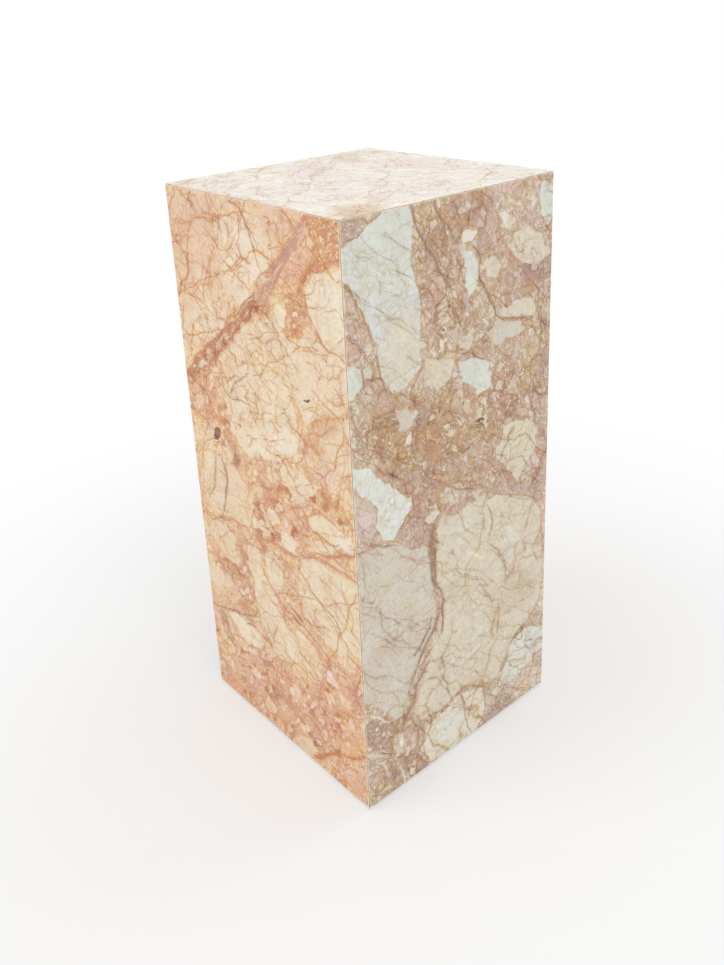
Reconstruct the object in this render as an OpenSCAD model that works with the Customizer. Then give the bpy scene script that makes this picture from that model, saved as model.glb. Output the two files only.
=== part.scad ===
// Pillar side table: a hollow square plinth of marble slabs, mitred on every edge and bonded with resin.
// Origin at the centre of the footprint, on the surface that the pads stand on. Front is -Y, right is +X.

/* [Plinth] */
// Width over the right and left slabs
plinth_w = 305; // [220:1:450]
// Depth over the front and back slabs
plinth_d = 305; // [220:1:450]
// Height from the floor to the top face
plinth_h = 680; // [400:1:1100]

/* [Marble slabs] */
// Thickness of every slab
slab_t = 20; // [12:0.5:30]
// Width that the eased arris takes off each face where two slabs meet
arris = 1.4; // [0.8:0.1:3]
// Width that the eased arris takes off the lower outer edge of a side slab
foot_arris = 2.2; // [0.5:0.1:4]
// Width that the eased arris takes off the lower inner edge of a side slab
inner_foot_arris = 1; // [0.3:0.1:4]

/* [Resin seams] */
// Thickness of the resin between two mitred faces
seam = 0.6; // [0.3:0.1:1]
// Depth of the polished resin below the eased arris
seam_sunk = 0.15; // [0:0.05:0.3]

/* [Backing nets] */
// Thickness of the resin-filled glass net bonded to the back of a slab
net_t = 0.8; // [0.4:0.1:2]
// Bare stone left between the edge of a net and the inner edge of its slab
net_margin = 4; // [2.5:0.5:10]

/* [Inner strips] */
// Side of the square corner battens
batten_w = 25; // [16:1:40]
// Corner sawn off a batten to clear the resin in the mitre behind it
batten_relief = 5; // [2:0.5:6]
// Side of the square cleats under the top slab
cleat_w = 20; // [12:1:30]
// Width of the base rails, from the slab inwards
rail_w = 22; // [12:1:35]
// Height of the base rails
rail_h = 30; // [15:1:60]
// Corner sawn off the free edge of cleats and rails
strip_ease = 2; // [0.5:0.5:4]
// Gap between the end of a cleat or rail and the batten beside it
end_gap = 0.3; // [0.1:0.1:1]

/* [Pads] */
// Thickness of the felt pads
pad_t = 4; // [3:0.5:8]
// Distance that the pads stand below the side slabs
pad_proud = 2; // [1:0.5:3]
// Rim of batten left bare round a pad
pad_rim = 1.5; // [0.5:0.5:3]
// Eased lower edge of a pad
pad_ease = 0.6; // [0.2:0.1:1]

/* [Hidden] */
$fn = 64;

marble_tint = "#dfc8ab";
pale_marble_tint = "#f0e8dc";
grey_marble_tint = "#cdbda8";
resin_tint = "#8a5a36";
net_tint = "#d8d3c0";
strip_tint = "#c9b79e";
felt_tint = "#4a4038";

// Faces count anticlockwise from the front, and corner n lies between face n and face n + 1.
FRONT = 0;
RIGHT = 1;
BACK = 2;
LEFT = 3;

function face_span(face) = face % 2 == 0 ? plinth_w : plinth_d;
function face_reach(face) = face % 2 == 0 ? plinth_d / 2 : plinth_w / 2;

// The mitred faces stand back from the mitre's middle plane by half the resin, measured square to it.
mitre_back = seam / sqrt(2);
// Depth of a mitre's outer edge below the face of its slab
tip_depth = (arris - mitre_back) / 2;
// Distance of that edge from the corner, along the face
tip_in = (arris + mitre_back) / 2;

// A seam is measured from the corner inwards along the mitre plane.
seam_start = arris / sqrt(2) + seam_sunk;
seam_end = slab_t * sqrt(2);

// Heights above the floor
slab_foot = pad_proud;
strip_foot = pad_t;
slab_inner_top = plinth_h - slab_t;
strip_top = slab_inner_top - net_t;

// Depth from a slab's face to the strips bonded on its net
strip_depth = slab_t + net_t;
pad_r = batten_w / 2 - pad_rim;

// Outline of a slab seen along an edge: its face lies along y = 0, and y is the depth into the stone.
function mitred_outline(span) = [
    [-span / 2 + arris, 0],
    [span / 2 - arris, 0],
    [span / 2 - tip_in, tip_depth],
    [span / 2 - slab_t - mitre_back, slab_t],
    [-span / 2 + slab_t + mitre_back, slab_t],
    [-span / 2 + tip_in, tip_depth]
];

// Section of a side slab from its face (x = 0) inwards, with its height along y
side_section = [
    [foot_arris, slab_foot],
    [slab_t - inner_foot_arris, slab_foot],
    [slab_t, slab_foot + inner_foot_arris],
    [slab_t, slab_inner_top - mitre_back],
    [tip_depth, plinth_h - tip_in],
    [0, plinth_h - arris],
    [0, slab_foot + foot_arris]
];

// Puts children on a face: x along the face, y inwards from it, z up.
module on_face(face) {
    rotate([0, 0, 90 * face]) translate([0, -face_reach(face), 0]) children();
}

// Puts children at a corner: x and y both run inwards from the outer edge.
module at_corner(corner) {
    to_right = corner == FRONT || corner == RIGHT;
    to_back = corner == RIGHT || corner == BACK;
    translate([(to_right ? 1 : -1) * plinth_w / 2, (to_back ? 1 : -1) * plinth_d / 2, 0])
        mirror([to_right ? 1 : 0, 0, 0])
            mirror([0, to_back ? 1 : 0, 0])
                children();
}

// Runs a section drawn in depth and height along the x axis.
module run_along(length) {
    rotate([90, 0, 90]) linear_extrude(height = length, center = true) children();
}

// Compound-mitred side slab: the plan gives the upright mitres, and the section the top one.
module side_slab(face) {
    on_face(face) intersection() {
        linear_extrude(height = plinth_h) polygon(mitred_outline(face_span(face)));
        run_along(face_span(face)) polygon(side_section);
    }
}

// Top slab, mitred all round its lower side
module mitred_top() {
    translate([0, 0, plinth_h]) intersection() {
        rotate([-90, 0, 0])
            linear_extrude(height = plinth_d, center = true) polygon(mitred_outline(plinth_w));
        rotate([0, 0, 90]) rotate([-90, 0, 0])
            linear_extrude(height = plinth_w, center = true) polygon(mitred_outline(plinth_d));
    }
}

// Resin in an upright mitre: a sheet cut to the slant of the top mitres
module upright_seam(corner) {
    foot = slab_foot + seam_sunk;
    at_corner(corner) rotate([0, 0, 45]) rotate([90, 0, 0])
        linear_extrude(height = seam, center = true) polygon([
            [seam_start, foot],
            [seam_end, foot],
            [seam_end, plinth_h - seam_end / sqrt(2)],
            [seam_start, plinth_h - seam_start / sqrt(2)]
        ]);
}

// Resin in the mitre between the top slab and a side slab
module top_seam(face) {
    end_back = 1.5 * mitre_back;
    outer = face_span(face) / 2 - seam_start / sqrt(2) - end_back;
    inner = face_span(face) / 2 - seam_end / sqrt(2) - end_back;
    on_face(face) translate([0, 0, plinth_h]) rotate([-45, 0, 0])
        linear_extrude(height = seam, center = true) polygon([
            [-outer, seam_start],
            [outer, seam_start],
            [inner, seam_end],
            [-inner, seam_end]
        ]);
}

// Glass net on the back of a side slab
module side_net(face) {
    width = face_span(face) - 2 * (slab_t + net_margin);
    foot = slab_foot + net_margin;
    height = slab_inner_top - net_margin - foot;
    on_face(face) translate([-width / 2, slab_t, foot]) cube([width, net_t, height]);
}

// Glass net on the underside of the top slab
module net_under_top() {
    size_x = plinth_w - 2 * (slab_t + net_margin);
    size_y = plinth_d - 2 * (slab_t + net_margin);
    translate([-size_x / 2, -size_y / 2, strip_top]) cube([size_x, size_y, net_t]);
}

// Corner batten from the pad to the top net, bonded across the two side nets
module corner_batten(corner) {
    at_corner(corner) translate([strip_depth, strip_depth, strip_foot])
        linear_extrude(height = strip_top - strip_foot) polygon([
            [batten_relief, 0],
            [batten_w, 0],
            [batten_w, batten_w],
            [0, batten_w],
            [0, batten_relief]
        ]);
}

// Strip bonded along a face between two battens, with its free edge eased
module strip(face, foot, width, height, free_edge_up) {
    length = face_span(face) - 2 * (strip_depth + batten_w + end_gap);
    lower_ease = free_edge_up ? 0 : strip_ease;
    upper_ease = free_edge_up ? strip_ease : 0;
    on_face(face) translate([0, strip_depth, foot]) run_along(length) polygon([
        [0, 0],
        [width - lower_ease, 0],
        [width, lower_ease],
        [width, height - upper_ease],
        [width - upper_ease, height],
        [0, height]
    ]);
}

module cleat(face) { strip(face, strip_top - cleat_w, cleat_w, cleat_w, false); }
module rail(face) { strip(face, strip_foot, rail_w, rail_h, true); }

// Round felt pad under a batten
module pad(corner) {
    centre = strip_depth + batten_w / 2;
    at_corner(corner) translate([centre, centre, 0]) rotate_extrude() polygon([
        [0, 0],
        [pad_r - pad_ease, 0],
        [pad_r, pad_ease],
        [pad_r, pad_t],
        [0, pad_t]
    ]);
}

module top_slab() { color(pale_marble_tint) mitred_top(); }
module front_slab() { color(marble_tint) side_slab(FRONT); }
module right_slab() { color(grey_marble_tint) side_slab(RIGHT); }
module back_slab() { color(marble_tint) side_slab(BACK); }
module left_slab() { color(grey_marble_tint) side_slab(LEFT); }

module front_right_seam() { color(resin_tint) upright_seam(FRONT); }
module back_right_seam() { color(resin_tint) upright_seam(RIGHT); }
module back_left_seam() { color(resin_tint) upright_seam(BACK); }
module front_left_seam() { color(resin_tint) upright_seam(LEFT); }
module top_front_seam() { color(resin_tint) top_seam(FRONT); }
module top_right_seam() { color(resin_tint) top_seam(RIGHT); }
module top_back_seam() { color(resin_tint) top_seam(BACK); }
module top_left_seam() { color(resin_tint) top_seam(LEFT); }

module top_net() { color(net_tint) net_under_top(); }
module front_net() { color(net_tint) side_net(FRONT); }
module right_net() { color(net_tint) side_net(RIGHT); }
module back_net() { color(net_tint) side_net(BACK); }
module left_net() { color(net_tint) side_net(LEFT); }

module front_right_batten() { color(strip_tint) corner_batten(FRONT); }
module back_right_batten() { color(strip_tint) corner_batten(RIGHT); }
module back_left_batten() { color(strip_tint) corner_batten(BACK); }
module front_left_batten() { color(strip_tint) corner_batten(LEFT); }

module front_cleat() { color(strip_tint) cleat(FRONT); }
module right_cleat() { color(strip_tint) cleat(RIGHT); }
module back_cleat() { color(strip_tint) cleat(BACK); }
module left_cleat() { color(strip_tint) cleat(LEFT); }
module front_rail() { color(strip_tint) rail(FRONT); }
module right_rail() { color(strip_tint) rail(RIGHT); }
module back_rail() { color(strip_tint) rail(BACK); }
module left_rail() { color(strip_tint) rail(LEFT); }

module front_right_pad() { color(felt_tint) pad(FRONT); }
module back_right_pad() { color(felt_tint) pad(RIGHT); }
module back_left_pad() { color(felt_tint) pad(BACK); }
module front_left_pad() { color(felt_tint) pad(LEFT); }

top_slab();
front_slab();
right_slab();
back_slab();
left_slab();
front_right_seam();
back_right_seam();
back_left_seam();
front_left_seam();
top_front_seam();
top_right_seam();
top_back_seam();
top_left_seam();
top_net();
front_net();
right_net();
back_net();
left_net();
front_right_batten();
back_right_batten();
back_left_batten();
front_left_batten();
front_cleat();
right_cleat();
back_cleat();
left_cleat();
front_rail();
right_rail();
back_rail();
left_rail();
front_right_pad();
back_right_pad();
back_left_pad();
front_left_pad();
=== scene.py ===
import logging
import math
from dataclasses import dataclass, field
from enum import Enum

import bpy
import numpy as np
from mathutils import Matrix, Quaternion, Vector


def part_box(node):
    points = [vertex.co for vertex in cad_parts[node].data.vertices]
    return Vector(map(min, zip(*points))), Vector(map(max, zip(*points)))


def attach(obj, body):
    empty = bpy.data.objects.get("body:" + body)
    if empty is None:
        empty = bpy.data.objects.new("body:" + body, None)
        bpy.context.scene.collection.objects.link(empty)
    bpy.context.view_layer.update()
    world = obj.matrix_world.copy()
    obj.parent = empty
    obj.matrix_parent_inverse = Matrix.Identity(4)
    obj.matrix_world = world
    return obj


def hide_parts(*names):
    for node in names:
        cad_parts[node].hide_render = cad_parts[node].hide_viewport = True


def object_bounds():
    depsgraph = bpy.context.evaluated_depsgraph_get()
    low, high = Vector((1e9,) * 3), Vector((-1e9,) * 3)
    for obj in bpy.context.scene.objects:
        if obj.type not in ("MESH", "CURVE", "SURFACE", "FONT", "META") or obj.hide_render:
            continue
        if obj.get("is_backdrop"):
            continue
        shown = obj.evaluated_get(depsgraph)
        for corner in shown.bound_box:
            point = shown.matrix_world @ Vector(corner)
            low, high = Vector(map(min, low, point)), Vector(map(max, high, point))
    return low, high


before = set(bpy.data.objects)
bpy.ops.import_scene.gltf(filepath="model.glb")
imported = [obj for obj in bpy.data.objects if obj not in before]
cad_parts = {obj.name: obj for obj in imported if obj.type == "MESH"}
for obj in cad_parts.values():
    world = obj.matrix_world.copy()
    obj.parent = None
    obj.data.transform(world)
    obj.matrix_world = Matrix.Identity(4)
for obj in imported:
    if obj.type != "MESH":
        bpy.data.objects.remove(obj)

LOG = logging.getLogger("pillar_table")
MM = 0.001
ROOT = "root"

Array = np.ndarray
Material = bpy.types.Material
Node = bpy.types.Node
Object = bpy.types.Object
Socket = bpy.types.NodeSocket
Tree = bpy.types.NodeTree
Point = tuple[float, float]
Way = tuple[float, float, float]
Colour = tuple[float, float, float]


class Tint(Enum):
    """Colours of the stone and of what holds it together, as red, green and blue out of 255; the face colours
    also hold painted light: the warm or cool light on each side, and the reflection on the top.
    """

    WHITE_CREAM = (239, 230, 212)
    PALE_CREAM = (233, 218, 194)
    CREAM = (230, 212, 184)
    WARM_CREAM = (228, 205, 174)
    PEACH = (228, 200, 168)
    DEEP_PEACH = (222, 184, 146)
    PINK_PEACH = (224, 188, 165)
    SHELL_PINK = (219, 174, 146)
    MAUVE_PEACH = (214, 178, 156)
    RUST = (192, 132, 92)
    PALE_RUST = (213, 164, 129)
    DEEP_RUST = (178, 112, 74)
    OCHRE = (206, 156, 100)
    YELLOW_OCHRE = (228, 186, 132)
    BURNT_OCHRE = (206, 154, 108)
    AMBER = (196, 122, 52)
    PINK_CREAM = (234, 208, 190)
    MAUVE_BROWN = (189, 142, 122)
    BROWN = (158, 112, 80)
    DARK_BROWN = (120, 84, 60)
    OLIVE_BROWN = (172, 132, 104)
    PALE_GREEN = (212, 215, 205)
    WHITE_STONE = (219, 222, 212)
    GREY_CREAM = (224, 217, 200)
    YELLOW_CREAM = (235, 216, 184)
    BEIGE = (215, 206, 185)
    GREY_BEIGE = (208, 200, 184)
    TAN = (203, 186, 168)
    MAUVE_TAN = (195, 172, 160)
    PALE_TAN = (222, 209, 195)
    OCHRE_TAN = (205, 170, 124)
    DUSK_MAUVE = (172, 143, 131)
    RED_TAN = (188, 154, 129)
    OCHRE_BROWN = (191, 163, 132)
    RIBBON_BROWN = (150, 113, 88)
    PINK_TAN = (210, 194, 182)
    BLUE_GREY = (144, 131, 118)
    PLUM = (126, 95, 92)
    # The TOP_ tints are paler than the stone of the sides: besides the top's own cream they hold painted
    # reflection, the whitening that the bright room's reflection gives the polished top.
    TOP_CREAM = (248, 245, 238)
    TOP_PINK = (239, 227, 217)
    TOP_PEACH = (228, 202, 176)
    TOP_WHITE = (250, 249, 245)

    @property
    def linear(self) -> Array:
        """The colour in linear light."""
        return to_linear(self.value)


def to_linear(tone: Colour) -> Array:
    """Turns a colour out of 255 into linear light.

    Args:
        tone: Red, green and blue, each from 0 to 255.

    Returns:
        Three linear values from 0 to 1.
    """
    share = np.asarray(tone, float) / 255
    return np.where(share <= 0.04045, share / 12.92, ((share + 0.055) / 1.055) ** 2.4)


class Hue(Enum):
    """A vein's colour: its place along the vein ramp, and its tint."""

    DARK_BROWN = (0.18, Tint.DARK_BROWN)
    BROWN = (0.34, Tint.RIBBON_BROWN)
    MAUVE = (0.48, Tint.MAUVE_BROWN)
    RUST = (0.62, Tint.RUST)
    ORANGE = (0.74, Tint.BURNT_OCHRE)
    AMBER = (0.82, Tint.AMBER)
    OCHRE = (0.90, Tint.OCHRE)
    WHITE = (0.99, Tint.WHITE_CREAM)

    @property
    def place(self) -> float:
        """Place along the ramp, from 0 to 1."""
        return self.value[0]

    @property
    def tint(self) -> Tint:
        """Tint of the stone."""
        return self.value[1]


@dataclass(frozen=True)
class Region:
    """An area of one stone, outlined on a face in millimetres from its lower left corner."""

    tint: Tint
    outline: list[Point]
    crackle: float = 0.4
    grit: float = 0.1
    soft: float = 2.5
    opacity: float = 1.0
    coarse: float = 0.15
    veiled: bool = True


@dataclass(frozen=True)
class Vein:
    """A line of other stone along a path, in millimetres."""

    hue: Hue
    width: float
    path: list[Point]
    opacity: float = 0.8


@dataclass(frozen=True)
class Wash:
    """A soft oval cloud of colour, with its half sizes in millimetres and its turn in degrees."""

    tint: Tint
    at: Point
    reach: Point
    turn: float = 0.0
    strength: float = 0.6


@dataclass(frozen=True)
class Pit:
    """An open hollow in the polish, in millimetres."""

    at: Point
    reach: Point
    turn: float
    depth: float


@dataclass(frozen=True)
class Rubble:
    """An area filled with small angular pieces from a fixed seed, in millimetres."""

    seed: int
    outline: list[Point]
    tints: tuple[Tint, ...]
    count: int
    smallest: float = 2.5
    largest: float = 8.0
    lean: float = 40.0

    def pieces(self) -> list[Region]:
        """Scatters the pieces, longest along the lean.

        Returns:
            The pieces.
        """
        rng = np.random.default_rng(self.seed)
        corners = np.asarray(self.outline, float)
        spots = rng.uniform(corners.min(0), corners.max(0), (self.count, 2))
        spread = self.largest - self.smallest
        return [angular_piece(rng, tuple(spot), self.smallest + spread * rng.uniform() ** 2, self.lean,
                              self.tints, (0.9, 1.4))
                for spot in spots[inside_distance(spots, self.outline) > 0]]


@dataclass
class FacePattern:
    """Everything that the natural pattern of one face is painted from."""

    base: Tint
    grit: float = 0.15
    crackle: float = 0.5
    # warmth is 1 on the warm front and 0 on the cool right: partly the stone's own colour, partly painted
    # light, warmer on the front and cooler on the right.
    warmth: float = 1.0
    washes: list[Wash] = field(default_factory=list)
    beds: list[Region] = field(default_factory=list)
    fragments: list[Region] = field(default_factory=list)
    rubble: list[Rubble] = field(default_factory=list)
    veils: list[Wash] = field(default_factory=list)
    veins: list[Vein] = field(default_factory=list)
    pits: list[Pit] = field(default_factory=list)


def front_pattern() -> FacePattern:
    """Warm peach face with the rust band that runs down to the left; its warm tints also hold painted light,
    the warmer and brighter light on this side.

    Returns:
        The pattern of the front slab.
    """
    washes = [
        Wash(Tint.CREAM, (232, 514), (62, 36), 0, 0.7),
        Wash(Tint.PALE_CREAM, (140, 520), (34, 22), 30, 0.6),
        Wash(Tint.PINK_PEACH, (28, 440), (44, 42), 0, 0.8),
        Wash(Tint.PALE_RUST, (26, 456), (28, 14), 30, 0.6),
        Wash(Tint.OCHRE, (58, 428), (24, 16), 35, 0.45),
        Wash(Tint.PALE_RUST, (60, 408), (26, 12), -30, 0.5),
        Wash(Tint.MAUVE_PEACH, (262, 411), (26, 18), 0, 0.7),
        Wash(Tint.PALE_RUST, (155, 350), (38, 34), 20, 0.5),
        Wash(Tint.PALE_RUST, (240, 440), (18, 50), -25, 0.4),
        Wash(Tint.RUST, (132, 300), (12, 36), 0, 0.5),
        Wash(Tint.PALE_RUST, (200, 320), (90, 40), 0, 0.3),
        Wash(Tint.MAUVE_PEACH, (184, 246), (18, 26), 0, 0.6),
        Wash(Tint.RUST, (55, 206), (54, 13), 12, 0.6),
        Wash(Tint.PALE_RUST, (86, 186), (34, 20), 0, 0.5),
        Wash(Tint.RUST, (90, 165), (34, 11), 24, 0.55),
        Wash(Tint.SHELL_PINK, (190, 92), (110, 42), 0, 0.85),
        Wash(Tint.PINK_PEACH, (245, 128), (56, 44), 0, 0.6),
        Wash(Tint.SHELL_PINK, (110, 24), (94, 30), 0, 0.75),
        Wash(Tint.PALE_RUST, (22, 32), (36, 32), 0, 0.65),
        Wash(Tint.PINK_PEACH, (268, 24), (52, 30), 0, 0.7),
        Wash(Tint.MAUVE_BROWN, (299, 148), (22, 26), 0, 0.5),
        Wash(Tint.PALE_RUST, (40, 130), (50, 20), 0, 0.45),
    ]
    beds = [
        Region(Tint.PALE_RUST, [(38, 487), (20, 476), (6, 460), (-3, 448), (-3, 434), (14, 446), (28, 460),
            (50, 470), (68, 479)], 0.4, 0.6, 4.0, 0.7),
        Region(Tint.PALE_RUST, [(250, 682), (256, 664), (268, 652), (308, 648), (308, 682)], 0.2, 0.8, 4.0),
        Region(Tint.RUST, [(278, 668), (290, 664), (303, 666), (306, 640), (286, 636), (274, 648)], 0.2,
            0.8, 5.0, 0.85),
        Region(Tint.PALE_RUST, [(218, 594), (236, 604), (252, 592), (246, 570), (236, 552), (228, 541),
            (217, 545), (211, 562)], 0.3, 0.6, 5.0, 0.9),
        Region(Tint.MAUVE_BROWN, [(154, 578), (170, 592), (188, 588), (188, 570), (182, 559), (160, 558)],
            0.2, 0.6, 4.0),
        Region(Tint.OCHRE, [(156, 564), (172, 566), (178, 559), (160, 556)], 0.1, 0.6, 3.0, 0.8),
        Region(Tint.SHELL_PINK, [(-3, 112), (60, 104), (130, 116), (200, 130), (250, 150), (308, 150),
            (308, -3), (-3, -3)], 0.45, 1.0, 20.0, 0.35, 0.6),
        Region(Tint.PALE_RUST, [(236, 396), (250, 398), (272, 388), (278, 378), (262, 374), (246, 382)],
            0.3, 0.7, 4.0),
        Region(Tint.OCHRE, [(250, 392), (262, 394), (274, 386), (266, 378), (254, 382)], 0.2, 0.7, 3.0,
            0.7),
        Region(Tint.PALE_RUST, [(140, 372), (152, 380), (172, 372), (178, 352), (168, 328), (150, 318),
            (140, 334), (146, 352)], 0.5, 0.6, 5.0, 0.7),
        Region(Tint.RUST, [(124, 324), (134, 322), (142, 300), (138, 284), (126, 282), (122, 300)], 0.3,
            0.6, 4.0, 0.6),
        Region(Tint.RUST, [(84, 262), (98, 262), (96, 244), (98, 222), (88, 218), (82, 232), (80, 248)],
            0.3, 0.6, 4.0, 0.65),
        Region(Tint.PALE_RUST, [(74, 256), (84, 260), (88, 246), (78, 238), (70, 246)], 0.3, 0.5, 4.0, 0.7),
        Region(Tint.MAUVE_BROWN, [(18, 122), (34, 124), (44, 112), (42, 98), (26, 96), (18, 106)], 0.2, 0.5,
            4.0, 0.85),
        Region(Tint.BROWN, [(20, 102), (34, 104), (44, 96), (42, 90), (28, 92)], 0.2, 0.4, 4.0, 0.6),
        Region(Tint.DEEP_RUST, [(118, 62), (132, 72), (150, 66), (146, 54), (134, 44), (120, 46)], 0.2, 0.6,
            6.0, 0.8),
        Region(Tint.MAUVE_BROWN, [(148, 74), (168, 68), (184, 54), (172, 46), (154, 56)], 0.3, 0.5, 6.0,
            0.5),
        Region(Tint.YELLOW_OCHRE, [(248, 62), (270, 88), (290, 100), (308, 104), (308, 84), (284, 68),
            (264, 54)], 0.3, 0.4, 5.0, 0.85),
        Region(Tint.MAUVE_BROWN, [(160, 30), (172, 24), (176, 6), (168, -2), (158, 8)], 0.3, 0.4, 5.0, 0.6),
    ]
    fragments = [
        Region(Tint.PEACH, [(-3, 684), (258, 684), (243, 668), (220, 648), (203, 632), (188, 615),
            (170, 600), (148, 577), (115, 549), (85, 520), (52, 499), (20, 473), (-3, 452)], 0.9, 0.15,
            1.2),
        Region(Tint.CREAM, [(160, 562), (178, 562), (206, 556), (217, 545), (236, 552), (250, 560),
            (308, 558), (308, 492), (272, 480), (250, 470), (236, 456), (225, 472), (214, 490), (198, 502),
            (165, 505), (130, 500), (104, 484), (78, 488), (120, 526), (150, 552)], 0.85, 0.15, 2.0),
        Region(Tint.MAUVE_PEACH, [(264, 684), (240, 660), (218, 637), (190, 613), (173, 600), (157, 577),
            (163, 566), (178, 566), (188, 574), (194, 590), (201, 606), (216, 626), (234, 648), (250, 665),
            (270, 684)], 0.8, 0.6, 1.0, veiled=False),
        Region(Tint.PINK_PEACH, [(213, 623), (240, 652), (256, 668), (262, 650), (258, 637), (247, 618),
            (222, 606), (200, 596)], 0.6, 0.7, 2.0, veiled=False),
        Region(Tint.PALE_RUST, [(252, 684), (256, 668), (262, 650), (258, 637), (250, 618), (267, 623),
            (285, 634), (308, 648), (308, 684)], 0.55, 0.95, 1.4, veiled=False),
        Region(Tint.RUST, [(160, 579), (145, 568), (123, 547), (95, 527), (67, 507), (40, 487), (17, 467),
            (-3, 452), (-3, 436), (27, 450), (50, 467), (72, 483), (92, 504), (110, 520), (133, 540),
            (152, 552), (166, 566)], 0.85, 0.7, 1.0, veiled=False),
        Region(Tint.CREAM, [(88, 440), (95, 462), (106, 482), (130, 497), (165, 502), (198, 500),
            (214, 486), (218, 462), (221, 440), (214, 420), (200, 409), (186, 399), (165, 391), (140, 386),
            (118, 384), (100, 394), (86, 405), (80, 421)], 0.9, 0.05, 2.0),
        Region(Tint.PALE_CREAM, [(252, 622), (266, 627), (290, 628), (308, 637), (308, 560), (286, 555),
            (266, 560), (254, 575), (248, 592), (246, 608)], 0.8, 0.08, 3.0),
        Region(Tint.PALE_CREAM, [(194, 572), (206, 581), (216, 573), (212, 558), (200, 555)], 0.55, 0.05,
            2.0),
        Region(Tint.WARM_CREAM, [(20, 350), (40, 358), (66, 360), (96, 355), (112, 342), (120, 318),
            (118, 298), (108, 284), (80, 281), (58, 279), (34, 274), (18, 286), (14, 305), (16, 330)], 0.55,
            0.05, 2.0),
        Region(Tint.CREAM, [(185, 396), (205, 398), (228, 396), (242, 384), (236, 372), (220, 362),
            (205, 351), (196, 362), (184, 376), (182, 388)], 0.65, 0.05, 1.4),
        Region(Tint.CREAM, [(229, 346), (244, 356), (262, 359), (296, 353), (304, 338), (298, 327),
            (285, 330), (262, 333), (242, 336), (230, 337)], 0.55, 0.05, 1.4),
        Region(Tint.CREAM, [(228, 303), (236, 322), (252, 327), (270, 329), (262, 317), (250, 310)], 0.55,
            0.05, 1.4),
        Region(Tint.CREAM, [(147, 318), (156, 331), (170, 329), (175, 317), (160, 308)], 0.45, 0.05, 1.4),
        Region(Tint.PALE_CREAM, [(166, 292), (176, 306), (190, 314), (203, 304), (197, 292), (182, 287)],
            0.55, 0.05, 1.4),
        Region(Tint.CREAM, [(99, 257), (112, 263), (125, 262), (133, 246), (130, 229), (137, 221),
            (106, 214), (98, 230)], 0.6, 0.05, 1.6),
        Region(Tint.CREAM, [(128, 262), (148, 272), (167, 266), (173, 248), (167, 228), (151, 218),
            (141, 220), (134, 230), (137, 246)], 0.65, 0.05, 2.0),
        Region(Tint.CREAM, [(108, 217), (128, 216), (148, 215), (160, 198), (166, 182), (188, 172),
            (202, 163), (198, 146), (183, 131), (152, 122), (136, 126), (130, 140), (114, 150), (112, 170),
            (107, 190)], 0.65, 0.05, 2.2),
        Region(Tint.PALE_CREAM, [(40, 130), (58, 140), (84, 137), (100, 139), (118, 126), (112, 114),
            (90, 107), (66, 109), (58, 118)], 0.55, 0.05, 1.6),
        Region(Tint.WARM_CREAM, [(20, 262), (58, 266), (76, 256), (72, 240), (84, 224), (62, 215),
            (36, 224), (18, 240)], 0.65, 0.1, 2.5),
        Region(Tint.WARM_CREAM, [(-3, 197), (30, 190), (56, 184), (62, 170), (40, 160), (-3, 160)], 0.65,
            0.1, 3.0),
        Region(Tint.CREAM, [(208, 288), (240, 297), (308, 298), (308, 205), (270, 192), (230, 200),
            (206, 212), (200, 236), (206, 262)], 0.75, 0.08, 4.0),
        Region(Tint.WARM_CREAM, [(166, 6), (180, 30), (200, 36), (214, 26), (206, 8), (190, -3)], 0.55, 0.1,
            3.0),
        Region(Tint.PINK_CREAM, [(234, 152), (247, 158), (261, 152), (258, 143), (244, 139)], 0.6, 0.5,
            1.4),
        Region(Tint.PINK_CREAM, [(262, 138), (276, 140), (284, 130), (272, 124)], 0.6, 0.5, 1.4),
        Region(Tint.PINK_CREAM, [(232, 124), (248, 128), (256, 116), (240, 110)], 0.6, 0.6, 1.4),
        Region(Tint.PINK_CREAM, [(80, 70), (96, 78), (112, 70), (100, 60), (84, 60)], 0.6, 0.6, 1.4),
        Region(Tint.SHELL_PINK, [(193, 62), (212, 72), (228, 62), (224, 46), (204, 42)], 0.8, 0.3, 1.2),
        Region(Tint.WARM_CREAM, [(173, 113), (176, 150), (192, 170), (220, 176), (236, 158), (228, 132),
            (206, 116)], 0.8, 0.35, 3.0),
        Region(Tint.WARM_CREAM, [(250, 458), (272, 476), (305, 490), (308, 430), (280, 420), (258, 424),
            (262, 440)], 0.85, 0.08, 3.5),
    ]
    rubble = [
        Rubble(1, [(0, 2), (303, 2), (303, 150), (240, 170), (180, 120), (120, 108), (0, 115)],
            (Tint.PINK_CREAM, Tint.WARM_CREAM, Tint.PINK_PEACH, Tint.MAUVE_PEACH, Tint.RUST), 230),
        Rubble(2, [(110, 272), (230, 300), (300, 330), (300, 400), (240, 410), (180, 380), (110, 380)],
            (Tint.CREAM, Tint.CREAM, Tint.PALE_RUST, Tint.RUST, Tint.WARM_CREAM), 150, 3.0, 9.0, 60.0),
        Rubble(3, [(2, 370), (80, 372), (100, 450), (40, 480), (2, 440)],
            (Tint.WARM_CREAM, Tint.PALE_RUST, Tint.PINK_CREAM, Tint.RUST), 70, 2.5, 7.0),
        Rubble(4, [(205, 540), (260, 540), (270, 640), (205, 600)],
            (Tint.WARM_CREAM, Tint.RUST, Tint.PINK_CREAM), 40, 2.0, 6.0, 60.0),
        Rubble(5, [(2, 180), (100, 180), (110, 225), (2, 220)],
            (Tint.WARM_CREAM, Tint.RUST, Tint.PALE_RUST, Tint.PINK_CREAM), 50, 2.0, 6.0, 20.0),
        Rubble(6, [(258, 640), (304, 646), (304, 678), (262, 678)],
            (Tint.RUST, Tint.PALE_RUST, Tint.WARM_CREAM), 36, 1.8, 4.5, 70.0),
    ]
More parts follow.
